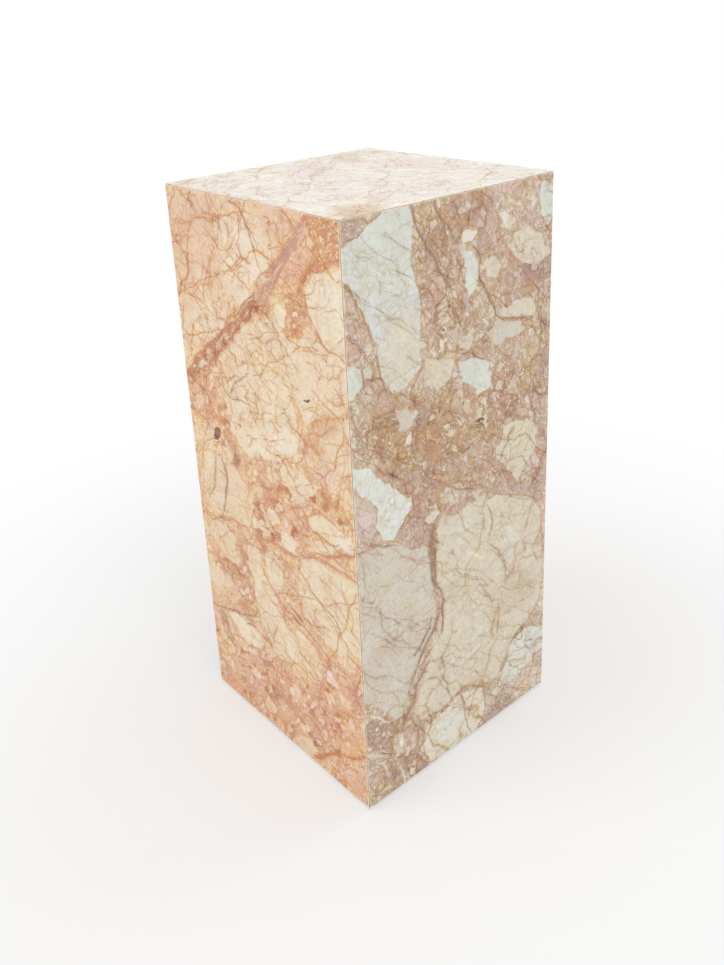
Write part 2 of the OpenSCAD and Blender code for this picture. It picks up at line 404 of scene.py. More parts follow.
    veils = [
        Wash(Tint.MAUVE_PEACH, (52, 650), (60, 28), 0, 0.5),
        Wash(Tint.DEEP_PEACH, (14, 624), (38, 14), 18, 0.8),
        Wash(Tint.DEEP_PEACH, (30, 575), (34, 45), 0, 0.35),
        Wash(Tint.PALE_CREAM, (150, 612), (52, 58), -12, 0.95),
        Wash(Tint.PALE_CREAM, (128, 646), (30, 16), 15, 0.6),
        Wash(Tint.PINK_PEACH, (68, 600), (28, 36), 0, 0.6),
        Wash(Tint.PALE_CREAM, (62, 532), (58, 24), 15, 0.6),
        Wash(Tint.PALE_CREAM, (58, 572), (12, 26), 12, 0.45),
        Wash(Tint.PINK_PEACH, (214, 664), (40, 20), 10, 0.6),
        Wash(Tint.WHITE_CREAM, (185, 425), (34, 16), 20, 0.45),
        Wash(Tint.PALE_RUST, (102, 488), (16, 10), 30, 0.4),
        Wash(Tint.WHITE_CREAM, (146, 398), (40, 8), -8, 0.45),
        Wash(Tint.BROWN, (97, 369), (9, 12), -25, 0.75),
        Wash(Tint.RUST, (86, 384), (20, 8), -40, 0.4),
        Wash(Tint.PINK_PEACH, (150, 455), (12, 26), 0, 0.35),
        Wash(Tint.WHITE_CREAM, (292, 590), (16, 26), 0, 0.5),
        Wash(Tint.WHITE_CREAM, (292, 342), (18, 14), 0, 0.7),
        Wash(Tint.WARM_CREAM, (66, 320), (40, 50), 60, 0.5),
        Wash(Tint.CREAM, (45, 318), (26, 34), 0, 0.5),
        Wash(Tint.PALE_RUST, (270, 470), (22, 16), 30, 0.6),
        Wash(Tint.OLIVE_BROWN, (292, 660), (12, 10), 0, 0.5),
        Wash(Tint.WHITE_CREAM, (248, 156), (9, 6), 0, 0.6),
        Wash(Tint.BROWN, (88, 147), (16, 4), 5, 0.5),
        Wash(Tint.WARM_CREAM, (24, 190), (30, 5), 12, 0.5),
    ]
    veins = [
        Vein(Hue.WHITE, 6, [(95, 517), (102, 519)], 0.55),
        Vein(Hue.WHITE, 4.4, [(86, 512), (89, 515)], 0.5),
        Vein(Hue.WHITE, 6.6, [(79, 503), (85, 508)], 0.45),
        Vein(Hue.WHITE, 6, [(56, 491), (63, 495)], 0.5),
        Vein(Hue.WHITE, 7, [(34, 469), (43, 474), (52, 476)], 0.5),
        Vein(Hue.OCHRE, 4.6, [(60, 478), (66, 483)], 0.6),
        Vein(Hue.WHITE, 4.2, [(110, 530), (116, 537)], 0.45),
        Vein(Hue.WHITE, 3.6, [(123, 541), (128, 546)], 0.4),
        Vein(Hue.WHITE, 4, [(140, 554), (147, 560)], 0.4),
        Vein(Hue.MAUVE, 10, [(163, 573), (178, 590), (194, 607), (210, 623), (228, 641), (246, 660)], 0.8),
        Vein(Hue.WHITE, 3.4, [(178, 594), (184, 602), (192, 608)], 0.4),
        Vein(Hue.WHITE, 3.2, [(197, 606), (206, 618), (214, 624)], 0.35),
        Vein(Hue.RUST, 4, [(172, 567), (184, 580), (195, 596), (210, 616), (228, 634)], 0.6),
        Vein(Hue.RUST, 2.2, [(58, 646), (72, 654), (92, 657), (112, 657), (126, 661), (142, 668),
            (162, 670)]),
        Vein(Hue.OCHRE, 3.0, [(0, 632), (22, 640), (44, 641), (58, 646)], 0.6),
        Vein(Hue.BROWN, 2.2, [(146, 676), (154, 660), (160, 646), (168, 632), (173, 618), (178, 608)], 0.7),
        Vein(Hue.RUST, 2.6, [(122, 602), (134, 612), (144, 616), (158, 614)], 0.8),
        Vein(Hue.RUST, 2.2, [(66, 594), (74, 588), (84, 592), (100, 592), (122, 604)], 0.55),
        Vein(Hue.DARK_BROWN, 2.6, [(48, 676), (54, 662), (62, 654)], 0.43),
        Vein(Hue.BROWN, 2.2, [(98, 652), (107, 644), (110, 632)], 0.6),
        Vein(Hue.MAUVE, 2.6, [(248, 672), (238, 664), (222, 650)], 0.7),
        Vein(Hue.RUST, 3.2, [(304, 644), (286, 638), (268, 632), (248, 622), (238, 606), (230, 590)], 0.75),
        Vein(Hue.DARK_BROWN, 2.4, [(160, 584), (148, 574), (134, 563), (122, 552)], 0.6),
        Vein(Hue.RUST, 2.2, [(156, 577), (123, 546), (95, 526), (66, 506), (40, 486), (16, 466)], 0.8),
        Vein(Hue.RUST, 2.4, [(262, 684), (240, 661), (217, 638), (190, 614), (172, 600), (157, 577)], 0.7),
        Vein(Hue.RUST, 2.2, [(144, 560), (128, 546), (110, 530), (92, 514), (76, 498)], 0.7),
        Vein(Hue.RUST, 2.4, [(128, 566), (112, 548), (98, 532)], 0.7),
        Vein(Hue.RUST, 3.0, [(176, 566), (190, 556), (200, 544), (204, 530), (208, 514)], 0.8),
        Vein(Hue.RUST, 2.2, [(138, 534), (152, 536), (170, 532), (186, 538), (200, 540)], 0.6),
        Vein(Hue.RUST, 2.0, [(196, 588), (212, 592), (228, 588), (250, 588), (276, 592)], 0.6),
        Vein(Hue.RUST, 2.2, [(224, 544), (236, 541), (250, 545), (264, 546)], 0.75),
        Vein(Hue.ORANGE, 2.0, [(142, 530), (140, 512), (150, 496), (170, 482), (196, 474)], 0.6),
        Vein(Hue.ORANGE, 2.0, [(150, 496), (166, 480), (174, 464), (158, 462), (140, 462)], 0.65),
        Vein(Hue.DARK_BROWN, 2.4, [(122, 476), (108, 466), (99, 454), (97, 448)], 0.65),
        Vein(Hue.DARK_BROWN, 2.0, [(84, 452), (97, 448), (112, 449), (126, 449)], 0.65),
        Vein(Hue.RUST, 2.0, [(232, 350), (244, 361), (262, 360), (282, 354), (303, 350)], 0.75),
        Vein(Hue.DARK_BROWN, 1.8, [(230, 332), (242, 332), (250, 326), (258, 319)], 0.8),
        Vein(Hue.BROWN, 1.8, [(244, 334), (260, 331), (278, 334)], 0.7),
        Vein(Hue.RUST, 4.0, [(234, 306), (250, 310), (264, 317), (278, 322), (292, 326), (305, 332)], 0.95),
        Vein(Hue.RUST, 4.0, [(98, 282), (118, 278), (140, 284), (160, 286), (182, 284), (206, 290),
            (226, 296), (250, 302), (276, 303), (306, 300)], 0.75),
        Vein(Hue.RUST, 3.0, [(8, 272), (30, 268), (60, 274), (84, 280), (100, 282)], 0.7),
        Vein(Hue.BROWN, 3.0, [(26, 262), (42, 270), (56, 272)], 0.7),
        Vein(Hue.DARK_BROWN, 3.8, [(64, 358), (69, 342), (67, 326), (62, 314), (60, 300), (57, 284),
            (48, 272)], 0.65),
        Vein(Hue.DARK_BROWN, 3.0, [(49, 354), (47, 338), (41, 322), (35, 308), (26, 294)], 0.58),
        Vein(Hue.RUST, 2.8, [(96, 262), (116, 262), (130, 266), (140, 276)], 0.8),
        Vein(Hue.RUST, 2.2, [(112, 344), (128, 352), (142, 356)], 0.7),
        Vein(Hue.RUST, 2.4, [(120, 320), (138, 334), (156, 338), (172, 336), (196, 326)], 0.65),
        Vein(Hue.RUST, 2.2, [(186, 396), (178, 380), (188, 362), (198, 350)], 0.6),
        Vein(Hue.RUST, 2.4, [(224, 330), (226, 344), (216, 354), (202, 350)], 0.6),
        Vein(Hue.RUST, 2.6, [(196, 402), (214, 410), (226, 420), (236, 436), (246, 458), (252, 470)], 0.7),
        Vein(Hue.RUST, 2.0, [(258, 450), (270, 462), (284, 476)], 0.6),
        Vein(Hue.RUST, 2.2, [(128, 250), (131, 238), (138, 226), (146, 219)], 0.75),
        Vein(Hue.BROWN, 2.2, [(222, 256), (240, 246), (256, 240), (266, 230), (272, 218), (290, 204)], 0.7),
        Vein(Hue.RUST, 2.0, [(278, 288), (284, 272), (292, 262), (294, 250)], 0.55),
        Vein(Hue.RUST, 2.2, [(36, 238), (48, 248), (58, 256)], 0.6),
        Vein(Hue.DARK_BROWN, 4.0, [(180, 213), (192, 208), (202, 200)], 0.65),
        Vein(Hue.DARK_BROWN, 3.6, [(184, 200), (194, 196), (202, 194)], 0.7),
        Vein(Hue.RUST, 4.0, [(200, 196), (214, 190), (226, 186), (242, 178), (256, 172)], 0.7),
        Vein(Hue.RUST, 4.0, [(146, 218), (158, 210), (172, 202), (184, 200)], 0.7),
        Vein(Hue.BROWN, 2.6, [(40, 196), (52, 192), (56, 188)], 0.6),
        Vein(Hue.RUST, 2.6, [(118, 128), (128, 136), (136, 124)], 0.5),
        Vein(Hue.RUST, 2.8, [(56, 90), (48, 76), (40, 64), (26, 46), (10, 40)], 0.65),
        Vein(Hue.RUST, 2.0, [(305, 130), (290, 122), (278, 116), (262, 112)], 0.75),
        Vein(Hue.AMBER, 4.4, [(210, 14), (220, 18), (230, 27), (240, 37), (250, 44), (262, 48), (276, 56),
            (290, 66), (306, 78)], 1.0),
        Vein(Hue.AMBER, 8.0, [(206, 12), (215, 16), (224, 21)], 1.0),
        Vein(Hue.BROWN, 3.0, [(0, 124), (30, 132), (60, 143), (90, 153), (114, 168)], 0.7),
        Vein(Hue.DARK_BROWN, 3.0, [(84, 137), (92, 141), (100, 143)], 0.7),
        Vein(Hue.DARK_BROWN, 3.4, [(28, 92), (36, 88), (44, 84)], 0.6),
        Vein(Hue.BROWN, 2.4, [(190, 44), (204, 38), (218, 46), (228, 58)], 0.6),
        Vein(Hue.ORANGE, 3.6, [(200, 186), (226, 176), (252, 164), (264, 156)], 0.9),
        Vein(Hue.BROWN, 2.4, [(184, 66), (194, 58), (200, 48)], 0.5),
        Vein(Hue.RUST, 2.2, [(60, 104), (84, 102), (110, 112)], 0.6),
    ]
    pits = [
        Pit((57, 389), (13, 7), 34, 1.6),
        Pit((239, 486), (8, 3), 38, 0.9),
    ]
    return FacePattern(base=Tint.PEACH, grit=0.75, crackle=0.6, washes=washes, beds=beds,
                       fragments=fragments, rubble=rubble, veils=veils, veins=veins, pits=pits)


def right_pattern() -> FacePattern:
    """Cooler face: pale greenish and beige fragments in a mauve and ochre ground; its cooler, greyer tints
    also hold painted shade, the cooler and dimmer light on this side.

    Returns:
        The pattern of the right slab.
    """
    washes = [
        Wash(Tint.PINK_TAN, (240, 650), (50, 34), 0, 0.8),
        Wash(Tint.MAUVE_TAN, (185, 655), (36, 26), 0, 0.8),
        Wash(Tint.OCHRE_BROWN, (118, 645), (28, 36), -10, 0.8),
        Wash(Tint.MAUVE_TAN, (100, 600), (20, 40), 0, 0.6),
        Wash(Tint.PINK_TAN, (115, 560), (26, 28), 0, 0.7),
        Wash(Tint.OCHRE_BROWN, (152, 552), (18, 40), -12, 0.65),
        Wash(Tint.PINK_TAN, (225, 560), (36, 20), 0, 0.6),
        Wash(Tint.PINK_TAN, (10, 575), (18, 40), 0, 0.6),
        Wash(Tint.BEIGE, (110, 500), (40, 18), 10, 0.7),
        Wash(Tint.OCHRE_BROWN, (60, 452), (62, 26), -10, 0.75),
        Wash(Tint.OCHRE_BROWN, (112, 420), (50, 44), 0, 0.7),
        Wash(Tint.MAUVE_TAN, (90, 386), (40, 24), -25, 0.8),
        Wash(Tint.PINK_TAN, (170, 360), (66, 32), 0, 0.7),
        Wash(Tint.MAUVE_TAN, (240, 430), (60, 36), 0, 0.6),
        Wash(Tint.DUSK_MAUVE, (292, 455), (18, 34), 0, 0.55),
        Wash(Tint.OCHRE_BROWN, (228, 470), (24, 18), -20, 0.5),
        Wash(Tint.PINK_TAN, (215, 400), (34, 18), 0, 0.6),
        Wash(Tint.MAUVE_TAN, (285, 372), (20, 60), 0, 0.5),
        Wash(Tint.PINK_TAN, (16, 372), (20, 26), 0, 0.7),
        Wash(Tint.MAUVE_TAN, (22, 96), (34, 38), 0, 0.9),
        Wash(Tint.OCHRE_BROWN, (40, 22), (40, 26), 0, 0.55),
        Wash(Tint.MAUVE_TAN, (72, 30), (26, 50), 15, 0.7),
        Wash(Tint.PINK_TAN, (298, 126), (18, 34), 0, 0.7),
        Wash(Tint.MAUVE_TAN, (224, 10), (34, 16), 0, 0.9),
        Wash(Tint.PALE_TAN, (278, 34), (48, 40), 0, 0.95),
        Wash(Tint.PALE_TAN, (298, 200), (18, 110), 0, 0.8),
    ]
    beds = [
        Region(Tint.MAUVE_TAN, [(-3, 684), (34, 684), (30, 668), (22, 660), (-3, 656)], 0.2, 0.6, 3.0),
        Region(Tint.DUSK_MAUVE, [(238, 592), (256, 586), (278, 584), (308, 596), (308, 562), (282, 560),
            (262, 568), (248, 576)], 0.2, 0.6, 3.5, 0.85),
        Region(Tint.OCHRE_BROWN, [(104, 662), (122, 660), (136, 640), (142, 622), (128, 618), (112, 632),
            (104, 646)], 0.2, 0.8, 5.0, 0.8),
        Region(Tint.OCHRE_BROWN, [(146, 572), (166, 578), (172, 562), (160, 548), (146, 552)], 0.2, 0.8,
            4.0, 0.8),
        Region(Tint.OCHRE_BROWN, [(156, 552), (172, 552), (168, 530), (158, 520), (156, 536)], 0.2, 0.8,
            4.0, 0.7),
        Region(Tint.DUSK_MAUVE, [(72, 402), (96, 396), (112, 380), (100, 364), (84, 372), (78, 388)], 0.2,
            0.7, 6.0, 0.7),
        Region(Tint.DUSK_MAUVE, [(88, 470), (104, 472), (112, 456), (102, 442), (88, 444)], 0.2, 0.7, 6.0,
            0.7),
        Region(Tint.PINK_TAN, [(-3, 412), (12, 404), (26, 386), (32, 372), (26, 352), (10, 346), (-3, 350)],
            0.3, 0.5, 3.0),
        Region(Tint.RED_TAN, [(60, 336), (72, 384), (110, 396), (150, 372), (200, 360), (236, 338),
            (262, 318), (226, 316), (180, 330), (130, 330), (96, 322)], 0.4, 0.9, 8.0, 0.7, 0.4),
        Region(Tint.OCHRE_BROWN, [(20, 470), (60, 486), (110, 470), (160, 460), (210, 470), (286, 470),
            (290, 430), (220, 400), (160, 384), (110, 404), (60, 420), (24, 440)], 0.4, 1.0, 12.0, 0.55,
            0.3),
        Region(Tint.MAUVE_TAN, [(60, 336), (96, 350), (130, 330), (180, 346), (226, 340), (262, 318),
            (300, 300), (296, 278), (270, 298), (230, 314), (206, 324), (176, 330), (140, 324), (116, 322),
            (100, 306), (80, 308), (68, 322)], 0.3, 0.6, 4.0, 0.8),
        Region(Tint.OCHRE_BROWN, [(214, 100), (232, 102), (240, 88), (230, 70), (216, 66), (210, 80)], 0.2,
            0.5, 5.0, 0.85),
        Region(Tint.DUSK_MAUVE, [(-3, 118), (16, 122), (32, 112), (36, 92), (20, 84), (-3, 90)], 0.3, 0.6,
            6.0, 0.7),
        Region(Tint.DUSK_MAUVE, [(192, 18), (216, 26), (240, 24), (250, 8), (236, -3), (196, -3)], 0.3, 0.6,
            6.0, 0.7),
        Region(Tint.RIBBON_BROWN, [(56, 60), (66, 40), (72, 16), (84, -3), (62, -3), (56, 24)], 0.3, 0.6,
            6.0, 0.7),
    ]
    fragments = [
        Region(Tint.PALE_GREEN, [(-3, 654), (24, 659), (35, 668), (58, 684), (84, 684), (90, 664),
            (88, 642), (84, 626), (92, 606), (96, 582), (99, 560), (99, 530), (97, 510), (80, 500),
            (62, 494), (52, 499), (45, 520), (38, 546), (30, 572), (19, 596), (6, 618), (-3, 628)], 0.45,
            0.04, 1.4),
        Region(Tint.PALE_GREEN, [(-3, 542), (10, 540), (19, 530), (20, 514), (10, 505), (-3, 506)], 0.3,
            0.05, 1.6),
        Region(Tint.GREY_CREAM, [(158, 640), (174, 642), (184, 636), (172, 628), (160, 629)], 0.2, 0.05,
            1.4),
        Region(Tint.PALE_GREEN, [(161, 622), (174, 616), (182, 604), (184, 588), (180, 572), (166, 565),
            (160, 580), (164, 600)], 0.3, 0.1, 1.6),
        Region(Tint.BEIGE, [(189, 600), (208, 604), (219, 592), (212, 580), (194, 581)], 0.2, 0.1, 2.0),
        Region(Tint.PALE_GREEN, [(284, 672), (308, 662), (308, 636), (296, 624), (284, 634), (280, 652)],
            0.6, 0.05, 1.6),
        Region(Tint.BEIGE, [(238, 622), (262, 630), (284, 614), (294, 600), (306, 592), (284, 586),
            (262, 584), (246, 592), (236, 604)], 0.65, 0.1, 2.4),
        Region(Tint.GREY_CREAM, [(216, 646), (228, 650), (236, 642), (226, 635)], 0.2, 0.05, 2.0),
        Region(Tint.GREY_CREAM, [(262, 658), (272, 662), (276, 648), (268, 640)], 0.2, 0.05, 2.0),
        Region(Tint.BEIGE, [(213, 539), (236, 545), (262, 546), (279, 536), (274, 521), (244, 527),
            (222, 534)], 0.2, 0.06, 1.2),
        Region(Tint.GREY_BEIGE, [(204, 532), (222, 530), (252, 520), (262, 508), (230, 504), (206, 508)],
            0.3, 0.15, 2.0),
        Region(Tint.GREY_CREAM, [(124, 533), (134, 534), (136, 524), (128, 520), (122, 526)], 0.1, 0.05,
            2.0),
        Region(Tint.PALE_GREEN, [(151, 500), (180, 497), (198, 489), (206, 472), (201, 458), (181, 457),
            (174, 468), (161, 477), (155, 489)], 0.3, 0.05, 1.4),
        Region(Tint.BEIGE, [(102, 516), (124, 512), (146, 502), (142, 486), (118, 480), (100, 490)], 0.4,
            0.2, 3.5),
        Region(Tint.GREY_CREAM, [(71, 436), (76, 446), (83, 444), (82, 434)], 0.1, 0.05, 1.2),
        Region(Tint.GREY_BEIGE, [(60, 472), (76, 478), (90, 462), (84, 448), (68, 450)], 0.2, 0.2, 3.0),
        Region(Tint.WHITE_STONE, [(-3, 434), (22, 426), (33, 409), (50, 398), (62, 384), (78, 373),
            (80, 360), (68, 350), (61, 340), (55, 331), (40, 335), (35, 346), (26, 358), (31, 374),
            (20, 390), (6, 404), (-3, 412)], 0.3, 0.04, 1.4),
        Region(Tint.BEIGE, [(96, 335), (112, 337), (124, 334), (110, 325), (100, 328)], 0.1, 0.1, 1.4),
        Region(Tint.BEIGE, [(224, 400), (246, 402), (270, 396), (286, 380), (281, 352), (264, 336),
            (250, 325), (234, 340), (216, 359), (205, 372), (222, 386)], 0.65, 0.1, 1.8),
        Region(Tint.BEIGE, [(116, 318), (140, 321), (160, 326), (180, 327), (195, 318), (212, 321),
            (230, 313), (250, 305), (270, 296), (286, 284), (293, 265), (296, 240), (300, 210), (302, 170),
            (296, 140), (276, 122), (262, 110), (248, 108), (238, 98), (230, 80), (216, 63), (196, 65),
            (178, 78), (152, 80), (120, 74), (84, 76), (72, 96), (78, 126), (94, 156), (110, 182),
            (117, 214), (113, 244), (112, 264), (114, 290)], 0.5, 0.05, 2.0),
        Region(Tint.GREY_BEIGE, [(-3, 332), (38, 331), (60, 322), (76, 308), (98, 302), (105, 280),
            (108, 250), (110, 214), (104, 190), (90, 168), (74, 148), (68, 122), (60, 98), (46, 98),
            (34, 118), (12, 138), (-3, 150)], 0.45, 0.05, 2.0),
        Region(Tint.GREY_CREAM, [(87, 46), (90, 58), (104, 66), (130, 69), (150, 75), (170, 72), (188, 62),
            (193, 50), (191, 28), (184, 14), (172, -3), (100, -3), (96, 12), (91, 30)], 0.65, 0.1, 1.6),
        Region(Tint.WHITE_STONE, [(240, 98), (252, 102), (262, 109), (278, 104), (292, 95), (308, 86),
            (308, 60), (284, 56), (260, 47), (247, 42), (232, 46), (212, 34), (206, 44), (224, 56),
            (234, 74)], 0.75, 0.12, 1.2),
    ]
    rubble = [
        Rubble(11, [(20, 400), (60, 412), (110, 380), (180, 360), (290, 360), (290, 480), (20, 480)],
            (Tint.OCHRE_BROWN, Tint.OCHRE_TAN, Tint.BEIGE, Tint.RED_TAN, Tint.OCHRE_BROWN), 300, 1.8, 6.0,
            -50.0),
        Rubble(12, [(100, 500), (290, 500), (290, 680), (100, 680)],
            (Tint.PINK_TAN, Tint.OCHRE_BROWN, Tint.BEIGE, Tint.MAUVE_TAN, Tint.RED_TAN), 260, 2.0, 7.0,
            -60.0),
        Rubble(13, [(2, 2), (80, 2), (70, 100), (2, 140)],
            (Tint.GREY_CREAM, Tint.MAUVE_TAN, Tint.DUSK_MAUVE, Tint.RED_TAN), 70, 2.0, 7.0, -60.0),
        Rubble(14, [(60, 330), (240, 320), (290, 300), (290, 350), (60, 380)],
            (Tint.PINK_TAN, Tint.RED_TAN, Tint.MAUVE_TAN), 90, 2.0, 6.0, -25.0),
    ]
    veils = [
        Wash(Tint.BEIGE, (70, 535), (34, 44), -10, 0.75),
        Wash(Tint.PALE_GREEN, (48, 625), (36, 34), 0, 0.4),
        Wash(Tint.BLUE_GREY, (98, 457), (9, 12), -20, 0.5),
        Wash(Tint.DARK_BROWN, (187, 423), (12, 4), -8, 0.75),
        Wash(Tint.DARK_BROWN, (194, 414), (5, 12), 10, 0.35),
        Wash(Tint.PLUM, (130, 544), (9, 5), -18, 0.85),
        Wash(Tint.OCHRE, (88, 83), (7, 3), 0, 0.7),
        Wash(Tint.WHITE_STONE, (236, 252), (20, 24), 0, 0.35),
        Wash(Tint.TAN, (270, 165), (26, 30), 0, 0.5),
        Wash(Tint.TAN, (60, 200), (40, 26), 0, 0.3),
        Wash(Tint.OCHRE_BROWN, (164, 80), (14, 4), -8, 0.7),
        Wash(Tint.RIBBON_BROWN, (258, 109), (12, 5), 25, 0.6),
        Wash(Tint.WHITE_STONE, (160, 300), (22, 12), -20, 0.35),
        Wash(Tint.TAN, (228, 240), (14, 10), 0, 0.4),
        Wash(Tint.WHITE_STONE, (145, 133), (52, 4), 22, 0.5),
        Wash(Tint.WHITE_STONE, (172, 123), (44, 3), 18, 0.45),
        Wash(Tint.OCHRE_BROWN, (230, 180), (44, 30), 20, 0.25),
        Wash(Tint.PALE_TAN, (284, 24), (34, 26), 0, 0.55),
        Wash(Tint.OCHRE_BROWN, (228, 48), (16, 7), 30, 0.5),
        Wash(Tint.WHITE_STONE, (128, 48), (34, 20), 0, 0.6),
    ]
    veins = [
        Vein(Hue.BROWN, 2.2, [(4, 618), (12, 604), (20, 592), (27, 578), (34, 560), (38, 548)], 0.5),
        Vein(Hue.BROWN, 1.8, [(38, 548), (40, 534), (44, 520)], 0.5),
        Vein(Hue.BROWN, 2.4, [(44, 520), (48, 508), (54, 497)], 0.55),
        Vein(Hue.RUST, 2.4, [(20, 592), (25, 583), (30, 572)], 0.8),
        Vein(Hue.BROWN, 3.2, [(116, 684), (122, 668), (132, 656), (142, 646), (149, 634)], 0.75),
        Vein(Hue.BROWN, 3.4, [(92, 664), (98, 650), (108, 636), (116, 622), (126, 608), (134, 594),
            (142, 582)], 0.8),
        Vein(Hue.BROWN, 3, [(150, 618), (154, 602), (152, 588)], 0.7),
        Vein(Hue.BROWN, 3.4, [(146, 562), (154, 550), (158, 540)], 0.8),
        Vein(Hue.BROWN, 3, [(86, 682), (92, 668), (94, 656)], 0.7),
        Vein(Hue.BROWN, 2, [(132, 652), (138, 640), (150, 638)], 0.7),
        Vein(Hue.BROWN, 2.4, [(144, 676), (152, 662), (160, 646), (156, 634)], 0.55),
        Vein(Hue.BROWN, 3.2, [(174, 622), (182, 612), (186, 602), (184, 588), (190, 578), (196, 568)],
            0.85),
        Vein(Hue.DARK_BROWN, 3.4, [(184, 590), (186, 582), (190, 577)], 0.6),
        Vein(Hue.BROWN, 3, [(196, 568), (202, 558), (208, 548), (212, 538)], 0.95),
        Vein(Hue.BROWN, 2.2, [(212, 538), (222, 532), (238, 528), (256, 522), (274, 516)], 0.85),
        Vein(Hue.RUST, 2.6, [(218, 624), (228, 610), (238, 598), (250, 590)], 0.6),
        Vein(Hue.BROWN, 2.2, [(276, 536), (284, 524), (290, 512), (300, 500)], 0.6),
        Vein(Hue.DARK_BROWN, 2.2, [(288, 512), (298, 506), (304, 500)], 0.6),
        Vein(Hue.RUST, 3.2, [(230, 506), (246, 502), (262, 510), (280, 514)], 0.5),
        Vein(Hue.BROWN, 1.8, [(66, 618), (76, 613), (88, 606)], 0.65),
        Vein(Hue.BROWN, 3.2, [(275, 446), (274, 430), (272, 416), (277, 402)], 0.8),
        Vein(Hue.MAUVE, 3.2, [(300, 486), (292, 468), (284, 452), (278, 438)], 0.6),
        Vein(Hue.MAUVE, 3, [(278, 400), (282, 386), (292, 374), (300, 360)], 0.6),
        Vein(Hue.BROWN, 2.6, [(204, 432), (218, 424), (232, 414), (254, 404), (276, 400)], 0.5),
        Vein(Hue.BROWN, 2.6, [(124, 372), (136, 362), (150, 352), (162, 346), (176, 340)], 0.65),
        Vein(Hue.BROWN, 2.4, [(30, 332), (44, 326), (56, 322)], 0.6),
        Vein(Hue.BROWN, 9.5, [(111, 318), (107, 306), (108, 290), (109, 274), (110, 258), (113, 246)], 0.9),
        Vein(Hue.DARK_BROWN, 2.6, [(104, 310), (102, 294), (104, 276), (106, 260), (110, 248)], 0.45),
        Vein(Hue.BROWN, 5, [(113, 250), (118, 238), (121, 224), (119, 208), (120, 194), (119, 180)], 0.85),
        Vein(Hue.BROWN, 5.5, [(112, 204), (106, 192), (96, 180), (90, 168), (82, 160)], 0.75),
        Vein(Hue.DARK_BROWN, 3.2, [(102, 209), (99, 198), (92, 188), (84, 178), (76, 169)], 0.7),
        Vein(Hue.BROWN, 5, [(104, 168), (92, 158), (84, 152), (74, 148), (68, 136), (66, 124)], 0.7),
        Vein(Hue.BROWN, 5.0, [(96, 152), (88, 140), (78, 130), (74, 116), (68, 104), (60, 94), (56, 82)],
            0.8),
        Vein(Hue.WHITE, 2.4, [(92, 166), (82, 154), (76, 142)], 0.5),
        Vein(Hue.BROWN, 3.6, [(6, 322), (8, 306), (9, 290)], 0.4),
        Vein(Hue.WHITE, 3, [(168, 264), (180, 256), (192, 246)], 0.5),
        Vein(Hue.BROWN, 2.2, [(152, 318), (154, 306), (160, 296), (172, 286)], 0.5),
        Vein(Hue.BROWN, 2.2, [(198, 312), (204, 298), (205, 284), (202, 270)], 0.6),
        Vein(Hue.BROWN, 1.7, [(202, 262), (212, 250), (222, 238), (228, 224), (229, 204)], 0.7),
        Vein(Hue.RUST, 2.6, [(270, 298), (282, 288), (290, 274)], 0.5),
        Vein(Hue.MAUVE, 2.6, [(290, 262), (295, 246), (290, 232), (284, 224)], 0.7),
        Vein(Hue.MAUVE, 2.2, [(268, 232), (280, 224), (288, 220)], 0.5),
        Vein(Hue.BROWN, 1.8, [(120, 124), (126, 108), (130, 92), (134, 76), (138, 62)], 0.65),
        Vein(Hue.MAUVE, 3, [(276, 132), (278, 118), (284, 104)], 0.6),
        Vein(Hue.BROWN, 2.4, [(150, 74), (156, 56), (158, 36), (162, 22), (170, 6)], 0.65),
        Vein(Hue.RUST, 3, [(178, 80), (188, 74), (196, 64)], 0.7),
        Vein(Hue.BROWN, 1.6, [(246, 96), (256, 84), (272, 76), (288, 74), (304, 66)], 0.5),
        Vein(Hue.OCHRE, 1.6, [(226, 54), (240, 62), (254, 66), (270, 62)], 0.6),
        Vein(Hue.MAUVE, 7, [(90, 134), (82, 122), (76, 108), (69, 95), (60, 84), (54, 77)], 0.55),
        Vein(Hue.DARK_BROWN, 2.8, [(20, 70), (28, 62), (40, 58)], 0.75),
        Vein(Hue.MAUVE, 3.2, [(0, 96), (12, 82), (22, 68)], 0.7),
        Vein(Hue.RUST, 2.4, [(40, 58), (50, 44), (60, 30)], 0.6),
        Vein(Hue.DARK_BROWN, 2.6, [(24, 76), (34, 82), (42, 78)], 0.5),
        Vein(Hue.WHITE, 3, [(8, 128), (22, 116), (36, 104)], 0.5),
        Vein(Hue.WHITE, 3, [(46, 36), (52, 20), (56, 2)], 0.6),
        Vein(Hue.WHITE, 2.6, [(14, 60), (26, 46), (30, 34)], 0.5),
    ]
    pits = [
        Pit((131, 544), (5, 3), -18, 0.7),
        Pit((186, 423), (8, 3), -8, 0.8),
    ]
    return FacePattern(base=Tint.TAN, grit=0.85, crackle=0.55, warmth=0.0, washes=washes, beds=beds,
                       fragments=fragments, rubble=rubble, veils=veils, veins=veins, pits=pits)


